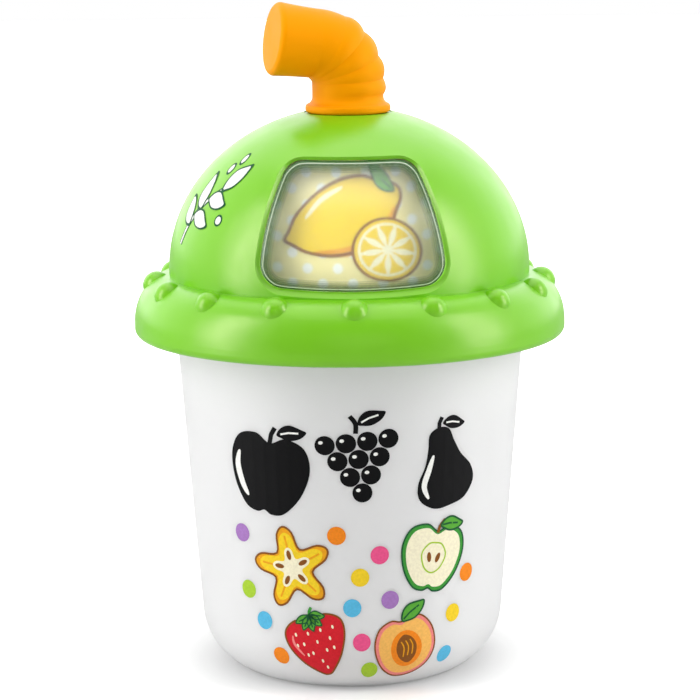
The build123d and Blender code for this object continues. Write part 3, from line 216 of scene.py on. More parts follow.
def polka(name, heading, ground, spots):
    """Printed card: slanted rows of pale round spots round the drum."""
    material, tree, shader = new_material(name)
    coords = tree.nodes.new("ShaderNodeTexCoord")
    turn = tree.nodes.new("ShaderNodeVectorRotate")
    turn.rotation_type = "Z_AXIS"
    turn.inputs["Angle"].default_value = -radians(heading)
    link(tree, coords.outputs["Object"], turn.inputs["Vector"])
    mapping = tree.nodes.new("ShaderNodeMapping")
    mapping.inputs["Rotation"].default_value = (radians(45), 0, 0)
    mapping.inputs["Scale"].default_value = (0, 1 / (DOT_PITCH * MM), 1 / (DOT_PITCH * MM))
    link(tree, turn.outputs["Vector"], mapping.inputs["Vector"])
    cell = calculate(tree, "ShaderNodeVectorMath", "FRACTION", mapping.outputs["Vector"])["Vector"]
    offset = calculate(tree, "ShaderNodeVectorMath", "SUBTRACT", cell, (0, 0.5, 0.5))["Vector"]
    distance = calculate(tree, "ShaderNodeVectorMath", "LENGTH", offset)["Value"]
    edge = map_range(tree, distance, (DOT_SIZE - DOT_EDGE, DOT_SIZE + DOT_EDGE), (0.0, 1.0))
    link(tree, blend_colours(tree, edge, spots, ground), shader.inputs["Base Color"])
    link(tree, noise(tree, 500.0, (0.5, 0.6)), shader.inputs["Roughness"])
    add_grain(tree, shader, *CARD_GRAIN)
    return material


MATERIALS = {
    "cup_plastic": moulded(
        "cup_plastic", CUP_WHITE, 0.36, variation=0.012, scatter=0.6, scatter_depth=0.006
    ),
    "lid_plastic": moulded(
        "lid_plastic", LIME, 0.34, scatter=0.08, scatter_depth=0.0015, specular=0.82, sheen=rgb("FFEAD8")
    ),
    "straw_plastic": moulded(
        "straw_plastic", ORANGE, 0.56, scatter=0.03, scatter_depth=0.001, specular=0.6, sheen=rgb("FFD21E")
    ),
    "clear_lens": clear_plastic("clear_lens", haze=0.04),
    "white_plastic": moulded("white_plastic", rgb("E6E4DE"), 0.45),
    "green_inner": moulded("green_inner", DARK_GREEN, 0.5),
    "grey_plastic": moulded("grey_plastic", rgb("A9ABAD"), 0.5),
    "black_plastic": moulded("black_plastic", rgb("26262A"), 0.45),
    "screw_steel": moulded("screw_steel", rgb("B4B4B8"), 0.3, metallic=1.0),
    "frame_steel": moulded("frame_steel", rgb("A2A4A8"), 0.35, metallic=1.0),
    "spring_metal": moulded("spring_metal", rgb("D8D2BC"), 0.22, metallic=1.0),
    "circuit_board": moulded("circuit_board", rgb("1C6B37"), 0.35),
    "cell_jacket": moulded("cell_jacket", rgb("5E6B7C"), 0.3),
    "lamp_clear": clear_plastic("lamp_clear"),
    "cone_paper": moulded("cone_paper", rgb("2A2A2A"), 0.8, variation=0.15),
    "wire_red": moulded("wire_red", rgb("B3261E"), 0.45),
    "wire_grey": moulded("wire_grey", rgb("808286"), 0.45),
}

FRUITS = ("lemon", "berry", "orange", "apple", "plum")
FRUIT_HEADINGS = {fruit: -90 + 360 * index / len(FRUITS) for index, fruit in enumerate(FRUITS)}
for fruit, heading in FRUIT_HEADINGS.items():
    MATERIALS[f"{fruit}_print"] = polka(f"{fruit}_ground", heading, rgb("FFF1AC"), rgb("FFFFFA"))

node_slots = {entry["node"]: entry["material_slot"] for entry in frame["record"]["subparts"]}
for node, piece in frame["nodes"].items():
    for material_slot in piece.material_slots:
        material_slot.material = MATERIALS[node_slots[node]]


# ----------------------------------------------------------------------------------------------
# Prints: thin closed films laid on a CAD surface, drawn in flat millimetres
# ----------------------------------------------------------------------------------------------
FILM = 0.04                 # step from one printed layer to the next, mm
UNDER = 0.008               # a layer's underside above the one below, mm
FAR = 0.2                   # where the rays that find the surface start, m


class Skin:
    """Carries flat millimetres onto a node: x runs round it from a heading, y is height above the foot."""

    def __init__(self, node, heading=0.0, radius=1.0):
        mesh = frame["nodes"][node].data
        self.tree = BVHTree.FromPolygons([v.co for v in mesh.vertices], [p.vertices for p in mesh.polygons])
        self.heading = radians(heading)
        self.radius = radius

    def place(self, x, y, lift):
        angle = self.heading + x / self.radius
        out = Vector((cos(angle), sin(angle), 0))
        return self.landing(out * FAR + Vector((0, 0, y * MM)), -out, lift)

    def landing(self, start, way, lift):
        spot, normal, _, _ = self.tree.ray_cast(start, way)
        if spot is None:
            raise ValueError(f"a print leaves its surface near {tuple(start)}")
        return spot + normal * lift * MM


class FrontSkin(Skin):
    """Carries flat millimetres straight back along +Y onto a node."""

    def place(self, x, y, lift):
        return self.landing(Vector((x * MM, -FAR, y * MM)), Vector((0, 1, 0)), lift)


class Print:
    """One printed motif: closed films of ink gathered into one mesh."""

    def __init__(self, name, skin, centre, turn=0.0, scale=1.0):
        self.name, self.skin, self.centre = name, skin, centre
        self.turn, self.scale = radians(turn), scale
        self.verts, self.faces, self.inks, self.materials = [], [], [], []

    def spot(self, point, lift):
        x, y = point[0] * self.scale, point[1] * self.scale
        c, s = cos(self.turn), sin(self.turn)
        return self.skin.place(self.centre[0] + c * x - s * y, self.centre[1] + s * x + c * y, lift)

    def film(self, rows, layer, material, closed, hub=None):
        """Film over rows of flat points. Closed rows are rings, and a hub fills the first one."""
        if material not in self.materials:
            self.materials.append(material)
        width = len(rows[0])
        steps = width if closed else width - 1
        last = (len(rows) - 1) * width
        faces = []
        bases = []
        for lift in ((layer + 1) * FILM, layer * FILM + UNDER):
            base = len(self.verts)
            bases.append(base)
            self.verts += [self.spot(point, lift) for row in rows for point in row]
            for row in range(len(rows) - 1):
                for k in range(steps):
                    a, b = row * width + k, row * width + (k + 1) % width
                    faces.append([base + a, base + b, base + b + width, base + a + width])
            if hub:
                middle = len(self.verts)
                self.verts.append(self.spot(hub, lift))
                faces += [[middle, base + (k + 1) % width, base + k] for k in range(steps)]
        top, under = bases
        rims = [(last + k, last + (k + 1) % width) for k in range(steps)]
        if not hub:
            rims += [(k, (k + 1) % width) for k in range(steps)]
        if not closed:
            for row in range(len(rows) - 1):
                rims += [(row * width, (row + 1) * width), (row * width + width - 1, (row + 2) * width - 1)]
        faces += [[top + a, top + b, under + b, under + a] for a, b in rims]
        self.faces += faces
        self.inks += [self.materials.index(material)] * len(faces)

    def fill(self, outline, material, layer=0, centre=(0, 0), rings=6):
        """Filled shape that its centre sees all of."""
        rows = [grow(outline, (k + 1) / rings, centre) for k in range(rings)]
        self.film(rows, layer, material, closed=True, hub=centre)

    def stroke(self, points, width, material, layer=1, closed=False, taper=False):
        """Line of a width along flat points."""
        count = len(points)
        left, right = [], []
        for i, (x, y) in enumerate(points):
            before = points[i - 1] if closed or i else points[0]
            after = points[(i + 1) % count] if closed or i < count - 1 else points[-1]
            way = Vector((after[0] - before[0], after[1] - before[1])).normalized()
            half = width / 2
            if taper:
                half *= sqrt(sin(pi * (i + 0.3) / (count - 0.4)))
            left.append((x - way.y * half, y + way.x * half))
            right.append((x + way.y * half, y - way.x * half))
        self.film([left, right], layer, material, closed)

    def finish(self, body):
        mesh = bpy.data.meshes.new(self.name)
        mesh.from_pydata(self.verts, [], self.faces)
        for material in self.materials:
            mesh.materials.append(material)
        mesh.polygons.foreach_set("material_index", self.inks)
        shell = bmesh.new()
        shell.from_mesh(mesh)
        bmesh.ops.recalc_face_normals(shell, faces=shell.faces)
        shell.to_mesh(mesh)
        shell.free()
        piece = bpy.data.objects.new(self.name, mesh)
        bpy.context.scene.collection.objects.link(piece)
        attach(piece, body)


def smooth(points, steps=6, closed=True):
    """Rounded curve through given points."""
    count = len(points)
    result = []
    for i in range(count if closed else count - 1):
        around = [i + k for k in (-1, 0, 1, 2)]
        near = [points[k % count] if closed else points[min(max(k, 0), count - 1)] for k in around]
        for s in range(steps):
            t = s / steps
            weights = (-t**3 + 2 * t**2 - t, 3 * t**3 - 5 * t**2 + 2, -3 * t**3 + 4 * t**2 + t, t**3 - t**2)
            result.append(tuple(sum(w * q[axis] for w, q in zip(weights, near)) / 2 for axis in (0, 1)))
    if not closed:
        result.append(points[-1])
    return result


def mirrored(points):
    """Whole outline from its right half, set from top to bottom."""
    return points + [(-x, y) for x, y in reversed(points) if abs(x) > 1e-6]


def ellipse(rx, ry, centre=(0, 0), turn=0.0, count=32):
    c, s = cos(radians(turn)), sin(radians(turn))
    spots = [(rx * cos(2 * pi * k / count), ry * sin(2 * pi * k / count)) for k in range(count)]
    return [(centre[0] + c * x - s * y, centre[1] + s * x + c * y) for x, y in spots]


def grow(outline, share, centre=(0, 0)):
    return [(centre[0] + (x - centre[0]) * share, centre[1] + (y - centre[1]) * share) for x, y in outline]


def moved(outline, centre, turn=0.0, scale=1.0):
    c, s = cos(radians(turn)) * scale, sin(radians(turn)) * scale
    return [(centre[0] + c * x - s * y, centre[1] + s * x + c * y) for x, y in outline]


INK_CODES = {
    "black": "08080A", "white": "F7F7F2", "red": "D8232F", "pink": "F0588F", "rose": "F58A86",
    "cream": "FBF3D3",
    "yellow": "F7D32B", "gold": "EFA51E", "orange": "F68A1F", "brown": "8A5320", "lime": "A9CF38",
    "green": "3F9A3A", "leaf": "5DAE3C", "blue": "5BBCE4", "purple": "A97BC0", "plum": "6E4C9B",
    "dark_green": "1F5A34", "pale_green": "DDEBA8", "peach": "FBBE62",
}
INK = {name: ink(f"ink_{name}", rgb(code)) for name, code in INK_CODES.items()}

# Outlines shared by the motifs, about 19 mm across
APPLE = smooth(mirrored([
    (0, 6.6), (3.4, 8.2), (7.6, 6.8), (9.3, 2.2), (8.0, -3.6), (4.8, -8.0), (1.8, -8.9), (0, -8.2),
]))
PEAR = smooth(mirrored([
    (0, 9.6), (2.5, 8.6), (3.5, 5.2), (4.9, 1.6), (7.4, -2.2), (7.6, -6.0), (4.4, -9.0), (0, -9.5),
]))
BERRY = smooth(mirrored([
    (0, 6.4), (4.4, 7.4), (8.2, 5.2), (8.4, 1.0), (5.8, -4.6), (2.0, -8.8), (0, -9.7),
]))
LEAF = smooth([(0, 0), (1.6, 1.9), (4.2, 2.5), (7.4, 1.0), (8.6, 0), (6.6, -1.5), (3.6, -1.9), (1.2, -1.0)])
LEAF_MIDDLE = (4.2, 0.2)    # a point that sees the whole leaf
LEMON = smooth([
    (-15.0, 0.2), (-13.4, 2.0), (-10.6, 5.2), (-5.0, 8.0), (1.5, 8.6), (8.0, 6.8), (12.0, 3.4), (14.6, 2.0),
    (15.8, 0), (14.6, -2.0), (11.8, -3.8), (7.0, -7.2), (0.5, -8.6), (-6.0, -7.6), (-11.0, -4.6),
    (-13.6, -1.6),
])


def spoke(radius, heading):
    """Point at a radius and a heading in degrees."""
    return radius * cos(radians(heading)), radius * sin(radians(heading))


def leaf(piece, at, turn, scale=1.0, layer=2, line=0.5):
    blade = moved(LEAF, at, turn, scale)
    piece.fill(blade, INK["leaf"], layer, centre=moved([LEAF_MIDDLE], at, turn, scale)[0], rings=3)
    piece.stroke(blade, line, INK["dark_green"], layer + 1, closed=True)
    vein = moved([(0.6, 0.1), (3.2, 0.4), (6.6, 0.1)], at, turn, scale)
    piece.stroke(vein, line, INK["dark_green"], layer + 1)


def citrus(piece, at, radius, colour, layer):
    """Cut face of a citrus fruit."""
    rind = ellipse(radius, radius, at, count=48)
    piece.fill(rind, INK[colour], layer, centre=at)
    piece.stroke(rind, 0.6, INK["brown"], layer + 1, closed=True)
    piece.fill(grow(rind, 0.86, at), INK["cream"], layer + 1, centre=at)
    segments = 9
    half = 180 / segments - 3.4     # half a segment's angle, less the pith
    for k in range(segments):
        heading = 360 * k / segments + 8
        wedge = [spoke(radius * 0.78, heading - half + 2 * half * s / 5) for s in range(6)]
        wedge.append(spoke(radius * 0.13, heading))
        middle = moved([spoke(radius * 0.52, heading)], at)[0]
        piece.fill(moved(wedge, at), INK[colour], layer + 2, centre=middle, rings=2)


def star_fruit(piece):
    outer = []
    for k in range(5):
        tip = 90 + 72 * k
        arm = ((-36, 4.9), (-13, 8.3), (0, 9.7), (13, 8.3))
        outer += [spoke(radius, tip + turn) for turn, radius in arm]
    outer = smooth(outer, 4)
    piece.fill(outer, INK["gold"])
    piece.stroke(outer, 0.45, INK["brown"], 1, closed=True)
    piece.fill(grow(outer, 0.86), INK["yellow"], 1)
    piece.fill(grow(outer, 0.5), INK["cream"], 2, rings=4)
    for k in range(5):
        heading = 90 + 72 * k
        at = spoke(3.1, heading)
        piece.fill(ellipse(1.15, 0.55, at, heading, 14), INK["brown"], 3, centre=at, rings=2)
        piece.stroke([spoke(radius, heading) for radius in (4.8, 6.2, 7.6)], 0.45, INK["gold"], 2)


def peach_half(piece):
    outer = smooth(mirrored([
        (0, 8.0), (3.0, 9.0), (7.0, 7.4), (9.4, 2.6), (8.8, -3.4), (5.4, -7.8), (0, -9.2),
    ]))
    piece.fill(outer, INK["rose"], rings=14)
    piece.stroke(outer, 0.45, INK["brown"], 1, closed=True)
    piece.fill(grow(outer, 0.88), INK["peach"], 1, rings=12)
    piece.fill(ellipse(4.9, 5.6, (0, -0.4)), INK["orange"], 2, centre=(0, -0.4), rings=4)
    stone = smooth(mirrored([(0, 4.0), (2.2, 2.6), (3.2, 0.0), (2.4, -3.0), (0, -4.8)]))
    piece.fill(stone, INK["brown"], 3, rings=3)
    for x in (-1.3, 0.1, 1.5):
        groove = smooth([(x, 2.2), (x + 0.5, 0.2), (x - 0.2, -2.4)], closed=False)
        piece.stroke(groove, 0.35, INK["gold"], 4)
    leaf(piece, (0.4, 8.2), 24)


def strawberry(piece):
    piece.fill(BERRY, INK["red"], rings=14)
    piece.stroke(BERRY, 0.5, INK["brown"], 1, closed=True)
    seeds = (
        (-5.4, 3.6), (-1.8, 3.2), (2.0, 3.4), (5.6, 3.4), (-3.8, 0.6), (0.2, 0.4), (4.0, 0.6), (-5.8, 0.6),
        (-2.0, -2.4), (2.2, -2.4), (-0.1, -5.2), (-3.6, -2.6), (4.4, -2.2), (0.6, -7.4),
    )
    for at in seeds:
        piece.fill(ellipse(0.32, 0.55, at, count=10), INK["cream"], 1, centre=at, rings=1)
    shine = smooth([(-6.4, 3.6), (-6.6, 1.2), (-4.8, -2.6)], closed=False)
    piece.stroke(shine, 0.7, INK["rose"], 2, taper=True)
    for turn in (196, 232, 270, 308, 344):
        leaf(piece, (0, 8.0), turn, 0.52, line=0.35)
    piece.stroke([(0, 7.6), (0.4, 9.0), (1.3, 10.0)], 0.8, INK["green"], 2)


def apple_half(piece):
    piece.fill(APPLE, INK["green"])
    piece.stroke(APPLE, 0.45, INK["dark_green"], 1, closed=True)
    piece.fill(grow(APPLE, 0.88), INK["cream"], 1)
    core = smooth(mirrored([(0, 3.6), (2.0, 3.2), (3.6, 0.6), (2.4, -2.8), (0, -4.2)]))
    piece.stroke(core, 0.4, INK["lime"], 2, closed=True)
    for side in (-1, 1):
        at = (1.3 * side, -0.2)
        piece.fill(ellipse(0.62, 1.35, at, -14 * side, 14), INK["brown"], 2, centre=at, rings=2)
    piece.stroke(smooth([(0, 6.2), (0.3, 8.0), (1.4, 9.8)], closed=False), 0.8, INK["brown"], 2)
    leaf(piece, (0.6, 8.2), 8, 0.8)


def dark_leaf(piece, at, turn, scale):
    blade = moved(LEAF, at, turn, scale)
    piece.fill(blade, INK["black"], centre=moved([LEAF_MIDDLE], at, turn, scale)[0], rings=3)
    piece.stroke(moved([(1.2, 0.1), (3.6, 0.4), (6.4, 0.1)], at, turn, scale), 0.4, INK["white"], 1)


def apple_stamp(piece):
    piece.fill(APPLE, INK["black"], rings=14)
    shine = smooth([(-7.2, 3.4), (-7.5, 0.2), (-6.0, -3.6), (-4.2, -6.0)], closed=False)
    piece.stroke(shine, 1.5, INK["white"], 1, taper=True)
    piece.stroke([(0.0, 6.4), (0.2, 8.6), (0.9, 10.2)], 1.0, INK["black"], 0)
    dark_leaf(piece, (1.4, 8.8), 14, 0.75)


def pear_stamp(piece):
    piece.fill(PEAR, INK["black"], centre=(0, -3), rings=12)
    shine = smooth([(-2.4, 3.6), (-4.2, 0.4), (-6.0, -3.0), (-5.4, -6.2)], closed=False)
    piece.stroke(shine, 1.4, INK["white"], 1, taper=True)
    piece.stroke([(0.0, 9.2), (0.3, 10.6), (1.2, 11.8)], 1.0, INK["black"], 0)
    dark_leaf(piece, (1.2, 10.4), -18, 0.7)


def grape_stamp(piece):
    for row, (count, y) in enumerate(((4, 4.4), (3, 0.6), (2, -3.2), (1, -7.0))):
        for k in range(count):
            at = ((k - (count - 1) / 2) * 4.5, y)
            piece.fill(ellipse(2.15, 2.15, at, count=24), INK["black"], centre=at, rings=2)
            shine = (at[0] - 0.8, at[1] + 0.7)
            piece.fill(ellipse(0.5, 0.4, shine, count=10), INK["white"], 1, centre=shine, rings=1)
    piece.stroke(smooth([(0, 6.4), (0.2, 8.6), (-0.8, 10.4)], closed=False), 1.0, INK["black"], 0)
    dark_leaf(piece, (0.6, 8.4), 18, 0.75)


# ----------------------------------------------------------------------------------------------
# Prints on the cup
# ----------------------------------------------------------------------------------------------
CUP_RADIUS = 44.0           # at which the cup's front lies flat, mm
FRONT = -90                 # heading of the front, degrees
cup_front = Skin("cup_shell", FRONT, CUP_RADIUS)
CUP_MOTIFS = (
    # name, drawing, place (mm), turn (degrees), scale
    ("apple_stamp", apple_stamp, (-23.5, 60.5), -8, 1.25),
    ("grape_stamp", grape_stamp, (1.0, 64.5), 6, 1.2),
    ("pear_stamp", pear_stamp, (24.5, 61.5), 12, 1.15),
    ("star_fruit", star_fruit, (-17.5, 35.0), 12, 1.18),
    ("apple_half", apple_half, (22.0, 37.2), -10, 1.05),
    ("peach_half", peach_half, (14.6, 12.8), 14, 0.95),
    ("strawberry", strawberry, (-11.0, 14.6), 16, 1.0),
)
for name, draw, centre, turn, scale in CUP_MOTIFS:
    motif = Print(f"{name}_print", cup_front, centre, turn, scale)
    draw(motif)
    motif.finish("housing")

CUP_DOT_RADIUS = 2.5
CUP_DOTS = (
    (-5.0, 44.5, "orange"), (6.5, 39.0, "pink"), (1.2, 33.0, "yellow"), (-32.0, 27.5, "lime"),
    (-1.0, 24.6, "blue"), (9.5, 26.5, "purple"), (34.0, 31.0, "orange"), (-27.0, 19.5, "blue"),
    (1.6, 15.0, "pink"), (29.5, 20.5, "yellow"), (-22.5, 10.0, "orange"), (4.0, 6.6, "lime"),
    (28.0, 9.0, "blue"), (-33.0, 43.0, "purple"),
)
dots = Print("cup_dots", cup_front, (0, 0))
for x, y, colour in CUP_DOTS:
    dot = ellipse(CUP_DOT_RADIUS, CUP_DOT_RADIUS, (x, y), count=28)
    dots.fill(dot, INK[colour], centre=(x, y), rings=2)
dots.finish("housing")

# ----------------------------------------------------------------------------------------------
# Print on the dome: a sprig of leaves and berries
# ----------------------------------------------------------------------------------------------
SPRIG_HEADING = -152
SPRIG_RADIUS = 44.0
SPRIG_HEIGHT = 128.5
sprig = Print("sprig_print", Skin("lid_shell", SPRIG_HEADING, SPRIG_RADIUS), (0, SPRIG_HEIGHT), 20)
stem = smooth([(-9.5, -7.5), (-5.0, -2.5), (0.5, 1.0), (7.5, 2.8)], closed=False)
sprig.stroke(stem, 1.7, INK["dark_green"], 0)
sprig.stroke(stem, 0.8, INK["white"], 1)
SPRIG_LEAVES = (
    ((-5.6, -3.0), 104, 0.9), ((-1.2, 0.0), 88, 1.0), ((-3.2, -1.2), -38, 0.85), ((2.2, 1.6), -28, 0.85),
    ((6.8, 2.8), 24, 0.95),
)
for at, turn, scale in SPRIG_LEAVES:
    blade = moved(LEAF, at, turn, scale)
    middle = moved([LEAF_MIDDLE], at, turn, scale)[0]
    sprig.fill(grow(blade, 1.22, middle), INK["dark_green"], 2, centre=middle, rings=4)
    sprig.fill(blade, INK["white"], 3, centre=middle, rings=4)
for at in ((5.4, 8.4), (9.0, 9.8), (7.6, -5.6)):
    sprig.fill(ellipse(1.5, 1.5, at, count=20), INK["dark_green"], 0, centre=at, rings=2)
    sprig.fill(ellipse(1.0, 1.0, at, count=20), INK["white"], 1, centre=at, rings=2)
sprig.finish("housing")

# ----------------------------------------------------------------------------------------------
# Painted shade and a painted highlight, as a soft border inside the lens's rounded edge
# ----------------------------------------------------------------------------------------------
LENS_EDGE = smooth(mirrored([
    (0, 141.5), (5.0, 141.5), (10.6, 141.5), (13.57, 141.22), (15.37, 140.41), (16.87, 139.12),
    (17.96, 137.47), (20.06, 132.46), (21.75, 127.3), (23.03, 122.01), (23.87, 116.65), (23.66, 114.23),
    (22.51, 112.1), (20.61, 110.6), (18.28, 109.97), (12.19, 109.65), (6.1, 109.46), (0, 109.4),
]), 3)


def inside(outline, step):
    """Clockwise outline moved inwards by a step."""
    moved_in = []
    for k, (x, y) in enumerate(outline):
        before, after = outline[k - 1], outline[(k + 1) % len(outline)]
        way = Vector((after[0] - before[0], after[1] - before[1])).normalized()
        moved_in.append((x + way.y * step, y - way.x * step))
    return moved_in


# Painted light on the lens, ring by ring from its edge: a dark painted shadow in the seam, a pale painted
# highlight on the rounded edge, then a dark painted shade band that fades inwards
PAINTED_EDGE_SHADE_AND_HIGHLIGHT = (
    # inset (mm), width (mm), colour, cover
    (0.42, 0.44, "2B6012", 0.85), (0.76, 0.24, "E8F6DC", 0.45), (1.13, 0.5, "38662C", 0.5),
    (1.63, 0.5, "38662C", 0.34), (2.13, 0.5, "38662C", 0.2), (2.63, 0.5, "38662C", 0.09),
)
# Each ring is a film of painted shade or painted highlight laid on the lens
painted_edge_light = Print("lens_painted_shade_and_highlight", FrontSkin("window_lens"), (0, 0))
for index, (inset, width, colour, cover) in enumerate(PAINTED_EDGE_SHADE_AND_HIGHLIGHT):
    veil = painted_light_film(f"lens_painted_light_{index}", rgb(colour), cover)
    painted_edge_light.stroke(inside(LENS_EDGE, inset), width, veil, 0, closed=True)
painted_edge_light.finish("housing")

# ----------------------------------------------------------------------------------------------
# Prints on the drum's five cards
# ----------------------------------------------------------------------------------------------
CARD_RADIUS = 34.0          # at which a card lies flat, mm
CARD_MIDDLE = 124.9         # height of its picture, mm


def lemon_picture(card):
    at, turn = (-1.5, 2.2), 24
    whole = moved(LEMON, at, turn)
    card.fill(whole, INK["yellow"], 1, centre=at, rings=9)
    shade = moved([(-10, -5.2), (-4, -7.6), (2, -8.0), (8, -6.0), (12, -3.0)], at, turn)
    card.stroke(smooth(shade, closed=False), 2.6, INK["gold"], 2, taper=True)
    card.stroke(whole, 0.8, INK["brown"], 3, closed=True)
    shine = moved([(-9, 3.4), (-4, 6.2), (2, 6.8)], at, turn)
    card.stroke(smooth(shine, closed=False), 1.2, INK["cream"], 2, taper=True)
    leaf(card, (11.2, 8.0), 128, 1.0, 4)
    citrus(card, (7.6, -6.0), 7.6, "yellow", 4)


def orange_picture(card):
    at = (-4.0, 2.0)
    whole = ellipse(10.2, 10.0, at, count=48)
    card.fill(whole, INK["orange"], 1, centre=at, rings=7)
    card.stroke(whole, 0.8, INK["brown"], 2, closed=True)
    card.stroke(smooth([(-12, 4), (-9.5, 8), (-5, 10)], closed=False), 1.2, INK["cream"], 2, taper=True)
    leaf(card, (-3.4, 10.6), 18, 1.0, 3)
    citrus(card, (7.4, -5.0), 7.6, "orange", 3)


def plum_picture(card):
    for at, size, layer in (((-6.0, 0.5), 8.6, 1), ((6.6, -2.6), 8.2, 3)):
        plum = ellipse(size, size * 0.94, at, count=44)
        card.fill(plum, INK["plum"], layer, centre=at)
        card.stroke(plum, 0.7, INK["brown"], layer + 1, closed=True)
        shine = smooth(moved([(-0.66, 0.1), (-0.5, 0.5), (-0.1, 0.7)], at, scale=size), closed=False)
        card.stroke(shine, 1.1, INK["purple"], layer + 1, taper=True)
    leaf(card, (-4.6, 7.6), 34, 1.1, 5)


CARD_PICTURES = (
    ("lemon", lemon_picture, 1.0), ("berry", strawberry, 1.35), ("orange", orange_picture, 1.0),
    ("apple", apple_half, 1.35), ("plum", plum_picture, 1.0),
)
for fruit, draw, scale in CARD_PICTURES:
    card = Skin(f"{fruit}_card", FRUIT_HEADINGS[fruit], CARD_RADIUS)
    picture = Print(f"{fruit}_picture", card, (0, CARD_MIDDLE), scale=scale)
    draw(picture)
    picture.finish("straw_spinner")

# ----------------------------------------------------------------------------------------------
# Stage: a pale paper floor, soft boxes and the camera
# ----------------------------------------------------------------------------------------------
FLOOR_SIZE = 6.0            # side of the paper, m
FLOOR_GLOW = (0.024, 0.085) # radii where the paper starts to glow to the camera, and is white, m
FLOOR_HOLE = 0.0295         # radius of the hole inside the foot ring, which the cup always covers, m
SKY_LIGHT = 0.22            # light of the room on the toy
SKY_SHEEN = 2.2             # what its gloss sees behind it
SKY_UNDER = 0.65            # light from under the paper, which only the base sees
WHITE = (1.0, 1.0, 1.0, 1.0)


def stage_material():
    """Near-white paper that keeps the shadow and reads white to the camera."""
    material, tree, shader = new_material("stage_paper")
    shader.inputs["Roughness"].default_value = 0.6
    shader.inputs["Specular IOR Level"].default_value = 0.3
    fibre = noise(tree, 9.0, (0.0, 1.0), detail=4.0)
    link(tree, blend_colours(tree, fibre, rgb("DEDEDE"), rgb("E1E1E1")), shader.inputs["Base Color"])
    coords = tree.nodes.new("ShaderNodeTexCoord")
    reach = calculate(tree, "ShaderNodeVectorMath", "LENGTH", coords.outputs["Object"])["Value"]
    glow = map_range(tree, reach, FLOOR_GLOW, (0.0, 1.0), "SMOOTHSTEP")
    seen = tree.nodes.new("ShaderNodeLightPath").outputs["Is Camera Ray"]
    shader.inputs["Emission Color"].default_value = WHITE
    lift = calculate(tree, "ShaderNodeMath", "MULTIPLY", seen, glow)["Value"]
    link(tree, lift, shader.inputs["Emission Strength"])
    # Seen from below, the paper is clear, and the hole under the foot lets light reach the base
    below = tree.nodes.new("ShaderNodeNewGeometry").outputs["Backfacing"]
    hole = calculate(tree, "ShaderNodeMath", "LESS_THAN", reach, FLOOR_HOLE)["Value"]
    under = calculate(tree, "ShaderNodeMath", "MULTIPLY", below, seen)["Value"]
    clear = calculate(tree, "ShaderNodeMath", "MAXIMUM", under, hole)["Value"]
    nothing = plain_shader(tree, "ShaderNodeBsdfTransparent", WHITE)
    surface = mix_shaders(tree, clear, shader.outputs["BSDF"], nothing)
    link(tree, surface, tree.nodes["Material Output"].inputs["Surface"])
    return material


def studio_world():
    """White to the camera, dim on the toy, bright behind it for its gloss, and some light from below."""
    world = bpy.data.worlds.new("studio")
    world.use_nodes = True
    tree = world.node_tree
    rays = tree.nodes.new("ShaderNodeLightPath")
    way = tree.nodes.new("ShaderNodeSeparateXYZ")
    link(tree, tree.nodes.new("ShaderNodeTexCoord").outputs["Generated"], way.inputs["Vector"])
    strength = tree.nodes.new("ShaderNodeMix")
    strength.data_type = "FLOAT"
    link(tree, rays.outputs["Is Glossy Ray"], strength.inputs[0])
    link(tree, map_range(tree, way.outputs["Z"], (-0.3, -0.1), (SKY_UNDER, SKY_LIGHT)), strength.inputs[2])
    link(tree, map_range(tree, way.outputs["Y"], (-0.2, 0.7), (SKY_LIGHT, SKY_SHEEN)), strength.inputs[3])
    light = tree.nodes["Background"]
    light.inputs["Color"].default_value = WHITE
    link(tree, strength.outputs[0], light.inputs["Strength"])
    backdrop = tree.nodes.new("ShaderNodeBackground")
    backdrop.inputs["Color"].default_value = WHITE
    backdrop.inputs["Strength"].default_value = 1.0
    sides = light.outputs["Background"], backdrop.outputs["Background"]
    surface = mix_shaders(tree, rays.outputs["Is Camera Ray"], *sides)
    link(tree, surface, tree.nodes["World Output"].inputs["Surface"])
    return world


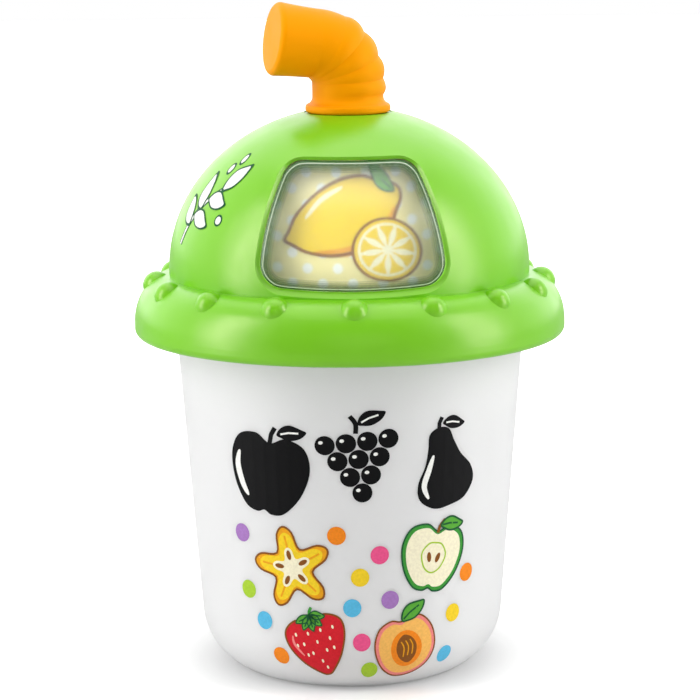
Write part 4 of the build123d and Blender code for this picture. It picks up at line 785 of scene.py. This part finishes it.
bpy.ops.mesh.primitive_plane_add(size=FLOOR_SIZE, location=(0, 0, 0))
floor = bpy.context.object
floor.name = "floor"
floor.data.materials.append(stage_material())
bpy.context.scene.world = studio_world()


def soft_box(name, place, aim, width, height, power):
    light = bpy.data.lights.new(name, "AREA")
    light.shape = "RECTANGLE"
    light.size, light.size_y = width, height
    light.energy = power
    box = bpy.data.objects.new(name, light)
    box.location = place
    box.rotation_euler = (Vector(aim) - Vector(place)).to_track_quat("-Z", "Y").to_euler()
    bpy.context.scene.collection.objects.link(box)


CENTRE = (0, 0, 0.09)       # what the lights face, m
SOFT_BOXES = (
    # name, place (m), width (m), height (m), power (W)
    ("left_box", (-0.85, -0.28, 0.35), 0.3, 1.1, 7.8),
    ("right_box", (0.85, -0.28, 0.35), 0.3, 1.1, 7.4),
    ("top_box", (0.0, -0.05, 1.0), 1.0, 0.9, 4.2),
    ("front_box", (0.1, -1.3, 0.5), 0.8, 0.5, 0.9),
)
for name, place, width, height, power in SOFT_BOXES:
    soft_box(name, place, CENTRE, width, height, power)

CAMERA_DISTANCE = 0.766     # m
CAMERA_TARGET = Vector((0, 0, 0.086))
CAMERA_AZIMUTH = radians(-1.3)
CAMERA_RISE = radians(10.1)
CAMERA_ROLL = radians(-0.5)
FOCAL_LENGTH = 144          # mm
SENSOR_WIDTH = 36           # mm
level = cos(CAMERA_RISE)
back = Vector((sin(CAMERA_AZIMUTH) * level, -cos(CAMERA_AZIMUTH) * level, sin(CAMERA_RISE)))
lens = bpy.data.cameras.new("camera")
lens.lens = FOCAL_LENGTH
lens.sensor_width = SENSOR_WIDTH
camera = bpy.data.objects.new("camera", lens)
camera.location = CAMERA_TARGET + back * CAMERA_DISTANCE
camera.rotation_mode = "QUATERNION"
camera.rotation_quaternion = (-back).to_track_quat("-Z", "Y") @ Quaternion((0, 0, 1), CAMERA_ROLL)
bpy.context.scene.collection.objects.link(camera)
bpy.context.scene.camera = camera

bpy.context.scene.view_settings.view_transform = "Standard"
